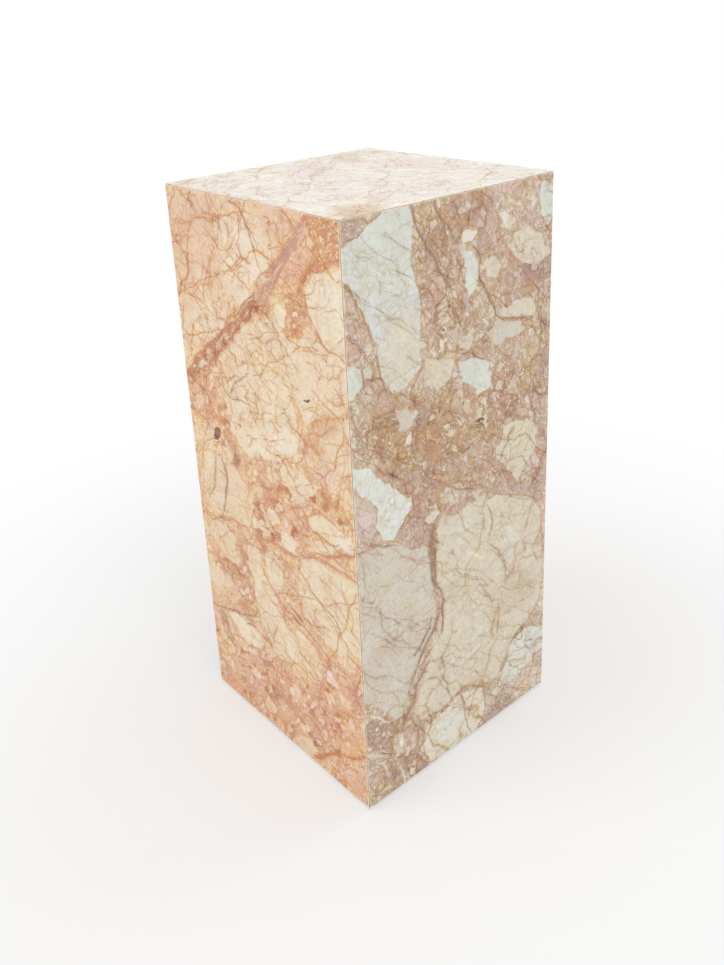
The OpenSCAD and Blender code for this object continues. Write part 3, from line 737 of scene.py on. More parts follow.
def top_pattern() -> FacePattern:
    """Pale cream top with fine pinkish threads, warmer at two corners; its paleness is partly painted
    reflection of the bright room on the polished top.

    Returns:
        The pattern of the top slab.
    """
    washes = [
        Wash(Tint.TOP_PEACH, (284, 36), (34, 24), -25, 0.95),
        Wash(Tint.TOP_PEACH, (40, 238), (44, 20), -35, 0.8),
        Wash(Tint.TOP_PEACH, (150, -2), (160, 9), 0, 0.7),
        Wash(Tint.TOP_PINK, (112, 246), (30, 40), -25, 0.7),
        Wash(Tint.TOP_PINK, (60, 160), (70, 26), -35, 0.5),
        Wash(Tint.TOP_PINK, (170, 255), (24, 44), -35, 0.6),
        Wash(Tint.TOP_WHITE, (226, 70), (46, 26), -30, 0.7),
        Wash(Tint.TOP_WHITE, (220, 280), (50, 18), 0, 0.6),
        Wash(Tint.TOP_WHITE, (40, 100), (46, 22), -30, 0.6),
        Wash(Tint.TOP_PINK, (262, 90), (14, 40), 30, 0.7),
        Wash(Tint.TOP_PINK, (30, 282), (44, 22), 0, 0.5),
        Wash(Tint.TOP_PEACH, (18, 20), (26, 16), -30, 0.6),
    ]
    beds = [
        Region(Tint.TOP_PEACH, [(262, 46), (276, 58), (300, 62), (308, 40), (308, 16), (284, 20)], 0.6, 0.5,
            6.0, 0.7),
    ]
    veins = [
        Vein(Hue.ORANGE, 1.8, [(100, 60), (116, 46), (130, 36)], 0.4),
        Vein(Hue.RUST, 2.0, [(40, 190), (66, 174), (86, 160), (104, 134), (120, 120), (140, 112)], 0.35),
        Vein(Hue.RUST, 1.8, [(110, 240), (124, 222), (140, 208)], 0.4),
        Vein(Hue.RUST, 2.0, [(156, 300), (168, 280), (180, 262)], 0.45),
        Vein(Hue.RUST, 2.2, [(216, 160), (232, 148), (252, 116), (268, 92), (280, 70)], 0.4),
        Vein(Hue.ORANGE, 1.8, [(20, 40), (44, 26), (66, 10)], 0.4),
        Vein(Hue.RUST, 1.6, [(180, 96), (200, 84), (226, 66)], 0.3),
        Vein(Hue.ORANGE, 1.6, [(60, 110), (82, 92), (96, 74)], 0.35),
        Vein(Hue.RUST, 1.6, [(250, 260), (266, 240), (276, 220)], 0.4),
        Vein(Hue.ORANGE, 1.8, [(0, 285), (26, 262), (52, 244)], 0.4),
        Vein(Hue.RUST, 1.6, [(150, 170), (176, 150), (196, 132)], 0.25),
        Vein(Hue.RUST, 1.6, [(236, 206), (262, 186), (290, 172)], 0.3),
    ]
    return FacePattern(base=Tint.TOP_CREAM, grit=0.4, crackle=0.58, warmth=0.45, washes=washes, beds=beds,
                       veins=veins)


@dataclass(frozen=True)
class QuarrySample:
    """Natural pattern for a face that the photograph doesn't show, from a fixed seed."""

    seed: int
    span: float
    height: float
    base: Tint
    warmth: float
    fragment_tints: tuple[Tint, ...]
    ground_tints: tuple[Tint, ...]
    sizes: tuple[tuple[float, int], ...] = ((78.0, 60), (44.0, 90), (25.0, 160), (13.0, 260))
    lean: float = 58.0
    washes: int = 26
    veils: int = 14
    veins: int = 46
    pits: int = 2
    hues: tuple[Hue, ...] = (
        Hue.RUST, Hue.RUST, Hue.BROWN, Hue.ORANGE, Hue.DARK_BROWN, Hue.MAUVE, Hue.OCHRE)

    def pattern(self) -> FacePattern:
        """Lays out fragments, a long band and veins.

        Returns:
            A pattern of the same kinds of mark as the drawn faces.
        """
        rng = np.random.default_rng(self.seed)
        made = FacePattern(base=self.base, grit=0.8, crackle=0.58, warmth=self.warmth)
        made.washes = [self._cloud(rng, self.ground_tints, (22, 70), (14, 40), (0.35, 0.8))
                       for _ in range(self.washes)]
        made.beds = [self._band(rng)]
        made.fragments = [angular_piece(rng, centre, reach, self.lean, self.fragment_tints)
                          for centre, reach in self._scattered(rng)]
        made.veils = [self._cloud(rng, self.fragment_tints, (18, 60), (8, 26), (0.2, 0.45))
                      for _ in range(self.veils)]
        made.veins = [self._vein(rng, self.hues[rng.integers(len(self.hues))]) for _ in range(self.veins)]
        made.pits = [Pit((rng.uniform(40, self.span - 40), rng.uniform(80, self.height - 80)),
                         (rng.uniform(4, 8), rng.uniform(2, 4)), rng.uniform(0, 60), 0.8)
                     for _ in range(self.pits)]
        return made

    def _cloud(self, rng: np.random.Generator, tints: tuple[Tint, ...], length: Point, breadth: Point,
               strength: Point) -> Wash:
        """Makes one soft cloud somewhere on the face.

        Args:
            rng: The face's own random source.
            tints: The colours that it is picked from.
            length: Least and greatest half length in millimetres.
            breadth: Least and greatest half breadth in millimetres.
            strength: Least and greatest strength.

        Returns:
            The cloud.
        """
        tint = tints[rng.integers(len(tints))]
        at = (rng.uniform(0, self.span), rng.uniform(0, self.height))
        reach = (rng.uniform(*length), rng.uniform(*breadth))
        return Wash(tint, at, reach, rng.uniform(20, 70), rng.uniform(*strength))

    def _scattered(self, rng: np.random.Generator) -> list[tuple[Point, float]]:
        """Picks places for fragments, the large ones first, that keep their distance from each other.

        Args:
            rng: The face's own random source.

        Returns:
            Centres and half sizes in millimetres.
        """
        places: list[tuple[Point, float]] = []
        for size, tries in self.sizes:
            for _ in range(tries):
                reach = size * rng.uniform(0.7, 1.2)
                spot = (rng.uniform(-10, self.span + 10), rng.uniform(-10, self.height + 10))
                if all(math.dist(spot, other) > 0.92 * (reach + taken) for other, taken in places):
                    places.append((spot, reach))
        return places

    def _band(self, rng: np.random.Generator) -> Region:
        """Outlines the granular band that crosses the face.

        Args:
            rng: The face's own random source.

        Returns:
            The band.
        """
        start, end = self.height * rng.uniform(0.5, 0.6), self.height * rng.uniform(0.78, 0.9)
        upper, lower = [], []
        for share in np.linspace(-0.02, 1.02, 10):
            middle = start + (end - start) * share + rng.uniform(-10, 10)
            half = rng.uniform(8, 20)
            upper.append((share * self.span, middle + half))
            lower.append((share * self.span, middle - half))
        return Region(Tint.PALE_RUST, upper + lower[::-1], 0.3, 0.85, 3.5, 0.85)

    def _vein(self, rng: np.random.Generator, hue: Hue) -> Vein:
        """Walks one vein across part of the face.

        Args:
            rng: The face's own random source.
            hue: Its colour.

        Returns:
            The vein.
        """
        at = np.array([rng.uniform(0, self.span), rng.uniform(0, self.height)])
        heading = math.radians(self.lean + rng.choice([0.0, 70.0]) + rng.uniform(-25, 25))
        path = [tuple(at)]
        for _ in range(int(rng.integers(2, 6))):
            heading += rng.uniform(-0.5, 0.5)
            at = at + rng.uniform(10, 24) * np.array([math.cos(heading), math.sin(heading)])
            path.append(tuple(at))
        return Vein(hue, rng.uniform(1.6, 3.6), path, rng.uniform(0.4, 0.85))


def angular_piece(rng: np.random.Generator, centre: Point, reach: float, lean: float,
                  tints: tuple[Tint, ...], soft: Point = (1.2, 4.0)) -> Region:
    """Outlines one angular piece of stone.

    Args:
        rng: The random source.
        centre: Its centre in millimetres.
        reach: Its mean half size in millimetres.
        lean: The way that it lies, in degrees, give or take.
        tints: The colours that it is picked from.
        soft: Least and greatest softness of its edge.

    Returns:
        The piece.
    """
    corners = int(rng.integers(5, 9))
    stretch = rng.uniform(1.0, 1.5)
    turn = math.radians(lean + rng.uniform(-30, 30))
    outline = []
    for k in range(corners):
        angle = 2 * math.pi * (k + rng.uniform(-0.35, 0.35)) / corners
        r = reach * rng.uniform(0.68, 1.12)
        a, b = r * math.cos(angle) * stretch, r * math.sin(angle) / stretch ** 0.6
        outline.append((centre[0] + a * math.cos(turn) - b * math.sin(turn),
                        centre[1] + a * math.sin(turn) + b * math.cos(turn)))
    return Region(tints[rng.integers(len(tints))], outline, rng.uniform(0.4, 0.9), rng.uniform(0.05, 0.4),
                  rng.uniform(*soft))


def ease(value: Array, low: float, high: float) -> Array:
    """Smooth step from 0 at low to 1 at high, which may run downwards.

    Args:
        value: Values to ease.
        low: Where the result is 0.
        high: Where the result is 1.

    Returns:
        Values from 0 to 1.
    """
    share = np.clip((value - low) / (high - low), 0, 1)
    return share * share * (3 - 2 * share)


def drift(spots: Array, wave: float, seed: int) -> Array:
    """Smooth random field over a face, about evenly spread from -1 to 1.

    Args:
        spots: Places on the face in millimetres, one a row.
        wave: Distance between the field's random values, in millimetres.
        seed: Seed of the field.

    Returns:
        One value a place.
    """
    low = spots.min(0) - wave
    scaled = (spots - low) / wave
    cells = np.floor(scaled).astype(int)
    share = scaled - cells
    share = share * share * (3 - 2 * share)
    size = cells.max(0) + 2
    table = np.random.default_rng(seed).uniform(-1, 1, (size[0], size[1]))
    i, j = cells[:, 0], cells[:, 1]
    s, t = share[:, 0], share[:, 1]
    near = table[i, j] * (1 - s) + table[i + 1, j] * s
    far = table[i, j + 1] * (1 - s) + table[i + 1, j + 1] * s
    return near * (1 - t) + far * t


def rounded(path: list[Point], steps: int = 4) -> Array:
    """Runs a smooth curve through the points of a path.

    Args:
        path: Points in millimetres.
        steps: Straight pieces for each stretch between two points.

    Returns:
        The curve's points, one a row.
    """
    points = np.asarray(path, float)
    padded = np.vstack([2 * points[0] - points[1], points, 2 * points[-1] - points[-2]])
    curve = []
    for k in range(1, len(padded) - 2):
        before, start, end, after = padded[k - 1:k + 3]
        for t in np.arange(steps) / steps:
            curve.append(0.5 * (2 * start + (end - before) * t
                                + (2 * before - 5 * start + 4 * end - after) * t ** 2
                                + (3 * start - before - 3 * end + after) * t ** 3))
    curve.append(points[-1])
    return np.array(curve)


def inside_distance(spots: Array, outline: list[Point]) -> Array:
    """Distance from each place to an outline, above 0 inside it.

    Args:
        spots: Places in millimetres, one a row.
        outline: The outline's corners in millimetres.

    Returns:
        Signed distances in millimetres.
    """
    corners = np.asarray(outline, float)
    nearest = np.full(len(spots), np.inf)
    inside = np.zeros(len(spots), bool)
    for start, end in zip(corners, np.roll(corners, -1, 0)):
        side = end - start
        offset = spots - start
        share = np.clip(offset @ side / (side @ side), 0, 1)
        gap = offset - share[:, None] * side
        nearest = np.minimum(nearest, (gap * gap).sum(1))
        crosses = (start[1] > spots[:, 1]) != (end[1] > spots[:, 1])
        if start[1] != end[1]:
            meet = start[0] + (spots[:, 1] - start[1]) * side[0] / (end[1] - start[1])
            inside ^= crosses & (spots[:, 0] < meet)
    distance = np.sqrt(nearest)
    return np.where(inside, distance, -distance)


def line_distance(spots: Array, line: Array) -> tuple[Array, Array]:
    """Distance from each place to a line, with the side that it lies on.

    Args:
        spots: Places in millimetres, one a row.
        line: The line's points.

    Returns:
        Signed distances, and how far along the line the nearest point is, from 0 to 1.
    """
    best = np.full(len(spots), np.inf)
    signed = np.zeros(len(spots))
    along = np.zeros(len(spots))
    last = len(line) - 1
    for k in range(last):
        side = line[k + 1] - line[k]
        length = math.hypot(*side)
        offset = spots - line[k]
        share = np.clip(offset @ side / length ** 2, 0, 1)
        gap = offset - share[:, None] * side
        distance = np.hypot(gap[:, 0], gap[:, 1])
        closer = distance < best
        turn = np.sign(offset[:, 1] * side[0] - offset[:, 0] * side[1])
        best = np.where(closer, distance, best)
        signed = np.where(closer, distance * turn, signed)
        along = np.where(closer, (k + share) / last, along)
    return signed, along


def spots_near(spots: Array, corners: Array, reach: float) -> Array:
    """Finds the places within a reach of the box round some corners.

    Args:
        spots: Places in millimetres, one a row.
        corners: The corners, one a row.
        reach: How far outside the box still counts.

    Returns:
        Indices of the places.
    """
    return np.flatnonzero(((spots > corners.min(0) - reach) & (spots < corners.max(0) + reach)).all(1))


@dataclass
class StoneFields:
    """What a face's vertices carry for the marble's shader, one row a vertex."""

    ground: Array
    fragment: Array
    fragment_field: Array
    stone_field: Array
    veins: list[Array]
    vein_widths: Array
    sunk: Array


@dataclass
class StonePainter:
    """Turns a face's pattern into values at places on that face, with its sizes in millimetres."""

    pattern: FacePattern
    seed: int
    wander: float = 2.6
    vein_layers: int = 4
    vein_spacing: float = 9.0
    far: float = 30.0
    pit_seeds: tuple[int, int] = (91, 92)
    no_piece: Way = (0.3, 2.0, 0.1)

    def paint(self, spots: Array, edge: Array) -> StoneFields:
        """Paints the whole pattern.

        Args:
            spots: Places on the face in millimetres, one a row.
            edge: Distance of each place from the slab's nearest outer edge, in millimetres.

        Returns:
            The fields at those places.
        """
        loose = spots + self.wander * np.stack([drift(spots, 24, seed) + 0.5 * drift(spots, 9, seed + 1)
                                                for seed in (self.seed, self.seed + 2)], 1)
        count = len(spots)
        ground = np.tile(self.pattern.base.linear, (count, 1))
        grit = np.full(count, self.pattern.grit)
        crackle = np.full(count, self.pattern.crackle)
        coarse = np.ones(count)
        for wash in self.pattern.washes:
            ground = self._wash(ground, loose, wash)
        for bed in self.pattern.beds:
            cover = ease(inside_distance(loose, bed.outline), -bed.soft, bed.soft) * bed.opacity
            ground += cover[:, None] * (bed.tint.linear - ground)
            grit += cover * (bed.grit - grit)
            crackle += cover * (bed.crackle - crackle)
            coarse += cover * (bed.coarse - coarse)
        fragment, fragment_field, veiled = self._fragments(loose)
        for veil in self.pattern.veils:
            ground = self._wash(ground, loose, veil)
            fragment = np.where(veiled[:, None], self._wash(fragment, loose, veil), fragment)
        sunk = sum((self._pit(spots, pit) for pit in self.pattern.pits), np.zeros(count))
        veins, widths = zip(*self._veins(loose))
        return StoneFields(ground, fragment, fragment_field, np.stack([grit, crackle, edge, coarse], 1),
                           list(veins), np.stack(widths, 1), sunk)

    def _wash(self, tone: Array, spots: Array, wash: Wash) -> Array:
        """Lays one soft cloud over a tone.

        Args:
            tone: Linear colours, one a row.
            spots: Places in millimetres.
            wash: The cloud.

        Returns:
            The new colours.
        """
        cover = wash.strength * ease(self._oval(spots, wash), 1.25, 0.5)
        return tone + cover[:, None] * (wash.tint.linear - tone)

    @staticmethod
    def _oval(spots: Array, mark: Wash | Pit) -> Array:
        """Distance from an oval mark's centre, as a share of its half size.

        Args:
            spots: Places in millimetres.
            mark: The oval mark.

        Returns:
            One share a place.
        """
        angle = math.radians(mark.turn)
        x, y = (spots - mark.at).T
        along = (x * math.cos(angle) + y * math.sin(angle)) / mark.reach[0]
        across = (y * math.cos(angle) - x * math.sin(angle)) / mark.reach[1]
        return np.hypot(along, across)

    def _pit(self, spots: Array, pit: Pit) -> Array:
        """Depth of one pit at each place, in millimetres."""
        ragged = spots + self.wander * np.stack([drift(spots, 6, seed) for seed in self.pit_seeds], 1)
        return pit.depth * ease(self._oval(ragged, pit), 1.0, 0.45)

    def _fragments(self, spots: Array) -> tuple[Array, Array, Array]:
        """Finds the fragment that each place lies in or nearest to.

        Args:
            spots: Places in millimetres.

        Returns:
            Its colour, its signed distance, crackle, softness and grit, and whether veils lie over it.
        """
        count = len(spots)
        best = np.full(count, -self.far)
        tone = np.tile(self.pattern.base.linear, (count, 1))
        rest = np.tile(self.no_piece, (count, 1))
        veiled = np.ones(count, bool)
        rubble = [part for heap in self.pattern.rubble for part in heap.pieces()]
        for piece in self.pattern.fragments + rubble:
            near = spots_near(spots, np.asarray(piece.outline), self.far)
            distance = inside_distance(spots[near], piece.outline)
            closer = distance > best[near]
            pick = near[closer]
            best[pick] = distance[closer]
            tone[pick] = piece.tint.linear
            rest[pick] = (piece.crackle, piece.soft, piece.grit)
            veiled[pick] = piece.veiled
        return tone, np.column_stack([best, rest]), veiled

    def _veins(self, spots: Array) -> list[tuple[Array, Array]]:
        """Sorts the veins into layers that don't meet, and measures each layer.

        Args:
            spots: Places in millimetres.

        Returns:
            For each layer: side, distance, hue and opacity, and the half width.
        """
        layers: list[list[tuple[Array, Vein]]] = [[] for _ in range(self.vein_layers)]
        for vein in self.pattern.veins:
            curve = rounded(vein.path)
            room = [min([np.hypot(*(curve[:, None] - other[None]).transpose(2, 0, 1)).min()
                         for other, _ in layer] or [np.inf]) for layer in layers]
            free = [k for k, gap in enumerate(room) if gap > self.vein_spacing]
            layers[free[0] if free else int(np.argmax(room))].append((curve, vein))
        return [self._vein_layer(spots, layer) for layer in layers]

    def _vein_layer(self, spots: Array, layer: list[tuple[Array, Vein]]) -> tuple[Array, Array]:
        """Measures one layer of veins.

        Args:
            spots: Places in millimetres.
            layer: Each vein with its curve.

        Returns:
            Side, distance, hue and opacity, one row a place, and the half widths.
        """
        out = np.tile([self.far, self.far, 0.5, 0.0], (len(spots), 1))
        widths = np.ones(len(spots))
        for curve, vein in layer:
            near = spots_near(spots, curve, self.far / 2)
            signed, along = line_distance(spots[near], curve)
            distance = np.abs(signed)
            closer = distance < out[near, 1]
            pick = near[closer]
            out[pick, 0] = signed[closer]
            out[pick, 1] = distance[closer]
            out[pick, 2:] = (vein.hue.place, vein.opacity)
            taper = 0.3 + 0.7 * np.sqrt(np.sin(np.pi * np.clip(along[closer], 0.02, 0.98)))
            widths[pick] = vein.width / 2 * taper
        return out, widths


class Shade:
    """Builds one node tree, of a material or a group, with short calls."""

    def __init__(self, tree: Tree) -> None:
        """Takes the tree that the nodes go in."""
        self.tree = tree

    def add(self, kind: str, *values: object, **settings: object) -> Node:
        """Adds a node.

        Args:
            kind: The node's type name, after ShaderNode.
            *values: Links or values for its first inputs, in order.
            **settings: Properties to set on it.

        Returns:
            The node.
        """
        node = self.tree.nodes.new("ShaderNode" + kind)
        for name, value in settings.items():
            setattr(node, name, value)
        for socket, value in zip(node.inputs, values):
            self.feed(socket, value)
        return node

    def feed(self, socket: Socket, value: object) -> None:
        """Links a socket to another, or sets its own value.

        Args:
            socket: The socket.
            value: A socket, a tint, a colour, a number or None, which leaves the socket as it is.
        """
        if isinstance(value, Socket):
            self.tree.links.new(value, socket)
            return
        if isinstance(value, Tint):
            value = value.linear
        if socket.type == "RGBA" and isinstance(value, (tuple, Array)) and len(value) == 3:
            value = (*value, 1.0)
        if value is not None:
            socket.default_value = value

    def math(self, operation: str, *values: object, clamp: bool = False) -> Socket:
        """Result of one sum on numbers."""
        return self.add("Math", *values, operation=operation, use_clamp=clamp).outputs[0]

    def times(self, first: object, *others: object) -> Socket:
        """Product of numbers.

        Args:
            first: A number or socket.
            *others: What it is multiplied by.

        Returns:
            The product.
        """
        for other in others:
            first = self.math("MULTIPLY", first, other)
        return first

    def swing(self, value: object, reach: float) -> Socket:
        """Turns a share from 0 to 1 into a swing to both sides of 0."""
        return self.times(self.math("SUBTRACT", value, 0.5), reach)

    def vector(self, operation: str, *values: object) -> Socket:
        """Result of one sum on vectors."""
        return self.add("VectorMath", *values, operation=operation).outputs[0]

    def scaled(self, vector: object, by: object) -> Socket:
        """A vector times a number."""
        return self.vector("SCALE", vector, None, None, by)

    def pushed(self, point: object, by: object, reach: float) -> Socket:
        """Moves a point by a colour's three channels, in millimetres."""
        return self.vector("MULTIPLY_ADD", by, (reach * MM,) * 3, point)

    def along(self, vector: object, way: object) -> Socket:
        """How far a vector goes one way."""
        return self.add("VectorMath", vector, way, operation="DOT_PRODUCT").outputs["Value"]

    def step(self, value: object, low: object, high: object, start: object = 0.0,
             end: object = 1.0) -> Socket:
        """Smooth step of a value from start at low to end at high."""
        node = self.add("MapRange", value, low, high, start, end, interpolation_type="SMOOTHSTEP")
        return node.outputs[0]

    def blend(self, share: object, a: object, b: object) -> Socket:
        """Mixes two numbers."""
        return self.add("Mix", share, None, a, b, data_type="FLOAT").outputs[0]

    def mix(self, share: object, a: object, b: object, blend: str = "MIX") -> Socket:
        """Mixes two colours.

        Args:
            share: Share of the second.
            a: First colour.
            b: Second colour.
            blend: How they are mixed.

        Returns:
            The mixed colour.
        """
        node = self.add("Mix", share, data_type="RGBA", blend_type=blend)
        for socket, value in zip(node.inputs[6:8], (a, b)):
            self.feed(socket, value)
        return node.outputs[2]

    def stain(self, share: object, tone: object, by: object) -> Socket:
        """Multiplies a colour by a stain."""
        return self.mix(share, tone, by, "MULTIPLY")

    def noise(self, point: object, size: float, detail: float = 2.0, roughness: float = 0.5,
              output: int = 0) -> Socket:
        """Noise whose largest waves are about size millimetres long.

        Args:
            point: Where it is read.
            size: Length of the largest waves.
            detail: Finer layers.
            roughness: Strength of the finer layers.
            output: 0 for one value, 1 for three.

        Returns:
            The noise.
        """
        node = self.add("TexNoise")
        for name, value in (("Vector", point), ("Scale", 1 / (size * MM)), ("Detail", detail),
                            ("Roughness", roughness)):
            self.feed(node.inputs[name], value)
        return node.outputs[output]

    def cells(self, point: object, scale: object, feature: str = "F1") -> Node:
        """Cells of a scale that a socket gives, or about as many millimetres across.

        Args:
            point: Where they are read.
            scale: The scale or the size.
            feature: What is measured.

        Returns:
            The texture node.
        """
        node = self.add("TexVoronoi", feature=feature)
        self.feed(node.inputs["Vector"], point)
        self.feed(node.inputs["Scale"], scale if isinstance(scale, Socket) else 1 / (scale * MM))
        return node

    def random_parts(self, point: object, size: float) -> list[Socket]:
        """Three random numbers for each cell about size millimetres across."""
        return self.channels(self.cells(point, size).outputs["Color"])

    def channels(self, colour: object) -> list[Socket]:
        """The three channels of a colour."""
        return list(self.add("SeparateColor", colour).outputs)

    def attribute(self, name: str) -> dict[str, Socket]:
        """Reads one of the mesh's own fields."""
        return self.add("Attribute", attribute_name=name).outputs

    def place(self) -> Socket:
        """Object coordinates, in metres."""
        return self.add("TexCoord").outputs["Object"]

    def group(self, tree: Tree, **inputs: object) -> dict[str, Socket]:
        """Places a node group with its inputs, whose spaces are written as underscores.

        Args:
            tree: The group's tree.
            **inputs: A value or link for each input.

        Returns:
            Its outputs, by name.
        """
        node = self.add("Group", node_tree=tree)
        for name, value in inputs.items():
            self.feed(node.inputs[name.replace("_", " ")], value)
        return node.outputs


class GroupShade(Shade):
    """Builds one node group, with named inputs and outputs."""

    kinds: dict[str, str] = {"VALUE": "Float", "RGBA": "Color", "VECTOR": "Vector"}

    def __init__(self, name: str, **inputs: object) -> None:
        """Starts the group.

        Args:
            name: The group's name.
            **inputs: Each input's value: a number, a colour with four parts, a vector, or None for a point.
        """
        super().__init__(bpy.data.node_groups.new(name, "ShaderNodeTree"))
        for label, value in inputs.items():
            kind = "Float" if isinstance(value, float) else "Color" if value and len(value) == 4 else "Vector"
            socket = self.tree.interface.new_socket(label.replace("_", " "), in_out="INPUT",
                                                    socket_type="NodeSocket" + kind)
            if value is not None:
                socket.default_value = value
        self.given = self.tree.nodes.new("NodeGroupInput").outputs

    def give(self, **outputs: Socket) -> Tree:
        """Ends the group.

        Args:
            **outputs: What each output gives.

        Returns:
            The group's tree.
        """
        for label, socket in outputs.items():
            kind = "NodeSocket" + self.kinds[socket.type]
            self.tree.interface.new_socket(label, in_out="OUTPUT", socket_type=kind)
        made = self.tree.nodes.new("NodeGroupOutput")
        for label, socket in outputs.items():
            self.feed(made.inputs[label], socket)
        return self.tree


@dataclass(frozen=True)
class Clasts:
    """Broken pieces of one size in the crushed ground, with the joint round them, in millimetres."""

    size: float
    share: float
    channel: int
    joint: float


GREY: tuple[float, ...] = (0.5, 0.5, 0.5, 1)


class StoneGroups:
    """Shader node groups that the stone and resin finishes share."""

    clasts: tuple[Clasts, ...] = (
        Clasts(6, 0.42, 2, 0.6), Clasts(13.5, 0.46, 1, 0.9), Clasts(32, 0.44, 0, 1.4))
    coarse_from: float = 10.0
    grain_size: float = 2.6
    cloud_waves: tuple[tuple[float, float], ...] = ((50, 0.26), (14, 0.26), (4.5, 0.30))
    crystal_sizes: tuple[tuple[float, float], ...] = ((4.2, 0.10), (1.7, 0.16))
    hue_stop_lead: float = 0.04

    def __init__(self) -> None:
        """Builds every group once."""
        self.bend = self._bend()
        self.ragged = self._ragged_edge()
        self.craze = self._craze()
        self.cracks = self._cracks()
        self.crushed = self._crushed()
        self.vein = self._vein()
        self.clouds = self._clouds()
        self.saw_marks = self._saw_marks()

    @staticmethod
    def _bend() -> Tree:
        """Pushes the point about: gently, with small faults, and finely.

        Returns:
            The group's tree.
        """
        shade = GroupShade("bent_point", Point=None, Bedding=(-0.404, 0.79, 0.46))
        point, bedding = shade.given["Point"], shade.given["Bedding"]
        broad = shade.pushed(point, shade.noise(point, 46, 1.0, output=1), reach=30)
        blocks = shade.cells(shade.vector("MULTIPLY", broad, (1.0, 1.0, 0.7)), 16).outputs["Color"]
        fine = shade.pushed(broad, shade.noise(point, 8, 2.0, 0.6, output=1), reach=4)
        rise = shade.scaled(bedding, shade.along(fine, bedding))
        return shade.give(Bedded=shade.vector("ADD", fine, shade.scaled(rise, 0.8)),
                          Faulted=shade.pushed(broad, blocks, reach=3.5), Fine=fine)

    @staticmethod
    def _ragged_edge() -> Tree:
        """Ragged mask of a fragment, from its signed distance in millimetres.

        Returns:
            The group's tree.
        """
        shade = GroupShade("ragged_edge", Point=None, Distance=0.0, Soft=2.0)
        point, distance = shade.given["Point"], shade.given["Distance"]
        block = shade.random_parts(point, 7.5)[0]
        for part, reach in ((shade.noise(point, 20, 3.0, 0.6), 3.4), (block, 2.2),
                            (shade.noise(point, 4, 2.0, 0.6), 1.4)):
            distance = shade.math("MULTIPLY_ADD", shade.math("SUBTRACT", part, 0.5), reach, distance)
        blur = shade.step(shade.noise(point, 45, 1.0), 0.38, 0.64, 0.15, 1.2)
        half = shade.times(shade.given["Soft"], blur)
        return shade.give(Mask=shade.step(distance, shade.times(half, -1.0), half), Distance=distance)

    @staticmethod
    def _lines(shade: GroupShade, away: Socket, width: Socket, shown: Socket, stained: Socket) -> Tree:
        """Ends a group of cracks.

        Args:
            shade: The group's builder.
            away: Distance from the nearest crack.
            width: The crack's half width there.
            shown: Share of the crack that shows.
            stained: Share of its stained border that shows.

        Returns:
            The group's tree.
        """
        line = shade.step(away, width, shade.times(width, 0.5))
        border = shade.step(away, shade.times(width, 4.0), 0.0)
        return shade.give(Line=shade.times(line, shown), Stain=shade.times(border, stained))

    def _craze(self) -> Tree:
        """Net of fine, broken cracks with a stained border.

        Returns:
            The group's tree.
        """
        shade = GroupShade("craze_net", Point=None, Patch=0.5, Cell=20 * MM, Width=0.6 * MM)
        point, patch, cell = (shade.given[name] for name in ("Point", "Patch", "Cell"))
        net = shade.cells(point, shade.math("DIVIDE", 1.0, cell), "DISTANCE_TO_EDGE")
        away = shade.times(net.outputs["Distance"], cell)
        width = shade.times(shade.given["Width"], shade.step(patch, 0.40, 0.65, 0.5, 1.5))
        return self._lines(shade, away, width, shade.step(patch, 0.46, 0.50), shade.step(patch, 0.48, 0.60))

    def _cracks(self) -> Tree:
        """Long cracks that cross the stone one way and break off.

        Returns:
            The group's tree.
        """
        shade = GroupShade("long_cracks", Point=None, Patch=0.5, Across=(1.0, 0.0, 0.0), Spacing=20 * MM,
                           Width=0.6 * MM)
        spacing = shade.given["Spacing"]
        run = shade.math("DIVIDE", shade.along(shade.given["Point"], shade.given["Across"]), spacing)
        own = shade.add("TexWhiteNoise", noise_dimensions="1D")
        shade.feed(own.inputs["W"], shade.math("FLOOR", run))
        own = own.outputs["Value"]
        away = shade.math("SUBTRACT", shade.math("FRACT", run), 0.5)
        away = shade.times(shade.math("ABSOLUTE", away), spacing)
        width = shade.times(shade.given["Width"], shade.step(own, 0.0, 1.0, 0.5, 1.5))
        here = shade.step(shade.math("ADD", shade.given["Patch"], shade.swing(own, 0.22)), 0.47, 0.52)
        return self._lines(shade, away, width, here, here)

    def _crushed(self) -> Tree:
        """Broken fragments of several sizes in a stained ground.

        Returns:
            The group's tree.
        """
        shade = GroupShade("crushed_ground", Point=None, Patch=GREY, Tone=GREY, Pale=(0.7, 0.65, 0.55, 1),
                           Stain=(0.8, 0.65, 0.5, 1), Coarse=1.0, Amount=0.5)
        point, base, pale, coarse, amount = (shade.given[name] for name in (
            "Point", "Tone", "Pale", "Coarse", "Amount"))
        patch = shade.channels(shade.given["Patch"])
        stain = shade.stain(1.0, base, shade.given["Stain"])
        shadow = shade.stain(1.0, base, (0.62, 0.50, 0.46))
        pink = shade.stain(1.0, base, (1.0, 0.88, 0.84))
        grain = shade.random_parts(point, self.grain_size)
        tone = shade.mix(shade.step(grain[0], 0.2, 0.9, 0.1, 1.0), base, stain)
        tone = shade.mix(shade.step(grain[1], 0.74, 0.88, 0.0, 0.9), tone, shadow)
        tone = shade.mix(shade.step(grain[2], 0.66, 0.90, 0.0, 0.8), tone, pale)
        edges: Socket | None = None
        for clasts in self.clasts:
            pick = shade.random_parts(point, clasts.size)
            rim = shade.cells(point, clasts.size, "DISTANCE_TO_EDGE").outputs["Distance"]
            joint = clasts.joint / clasts.size
            here = shade.step(patch[clasts.channel], 0.36, 0.60, clasts.share * 0.3, clasts.share * 1.8)
            if clasts.size > self.coarse_from:
                here = shade.times(here, coarse)
            chosen = shade.math("LESS_THAN", pick[0], here)
            clast = shade.mix(shade.step(pick[1], 0.0, 1.0, 0.0, 0.75), base, pale)
            clast = shade.mix(shade.step(pick[2], 0.70, 0.74), clast, pink)
            tone = shade.mix(shade.times(chosen, shade.step(rim, joint, 1.6 * joint)), tone, clast)
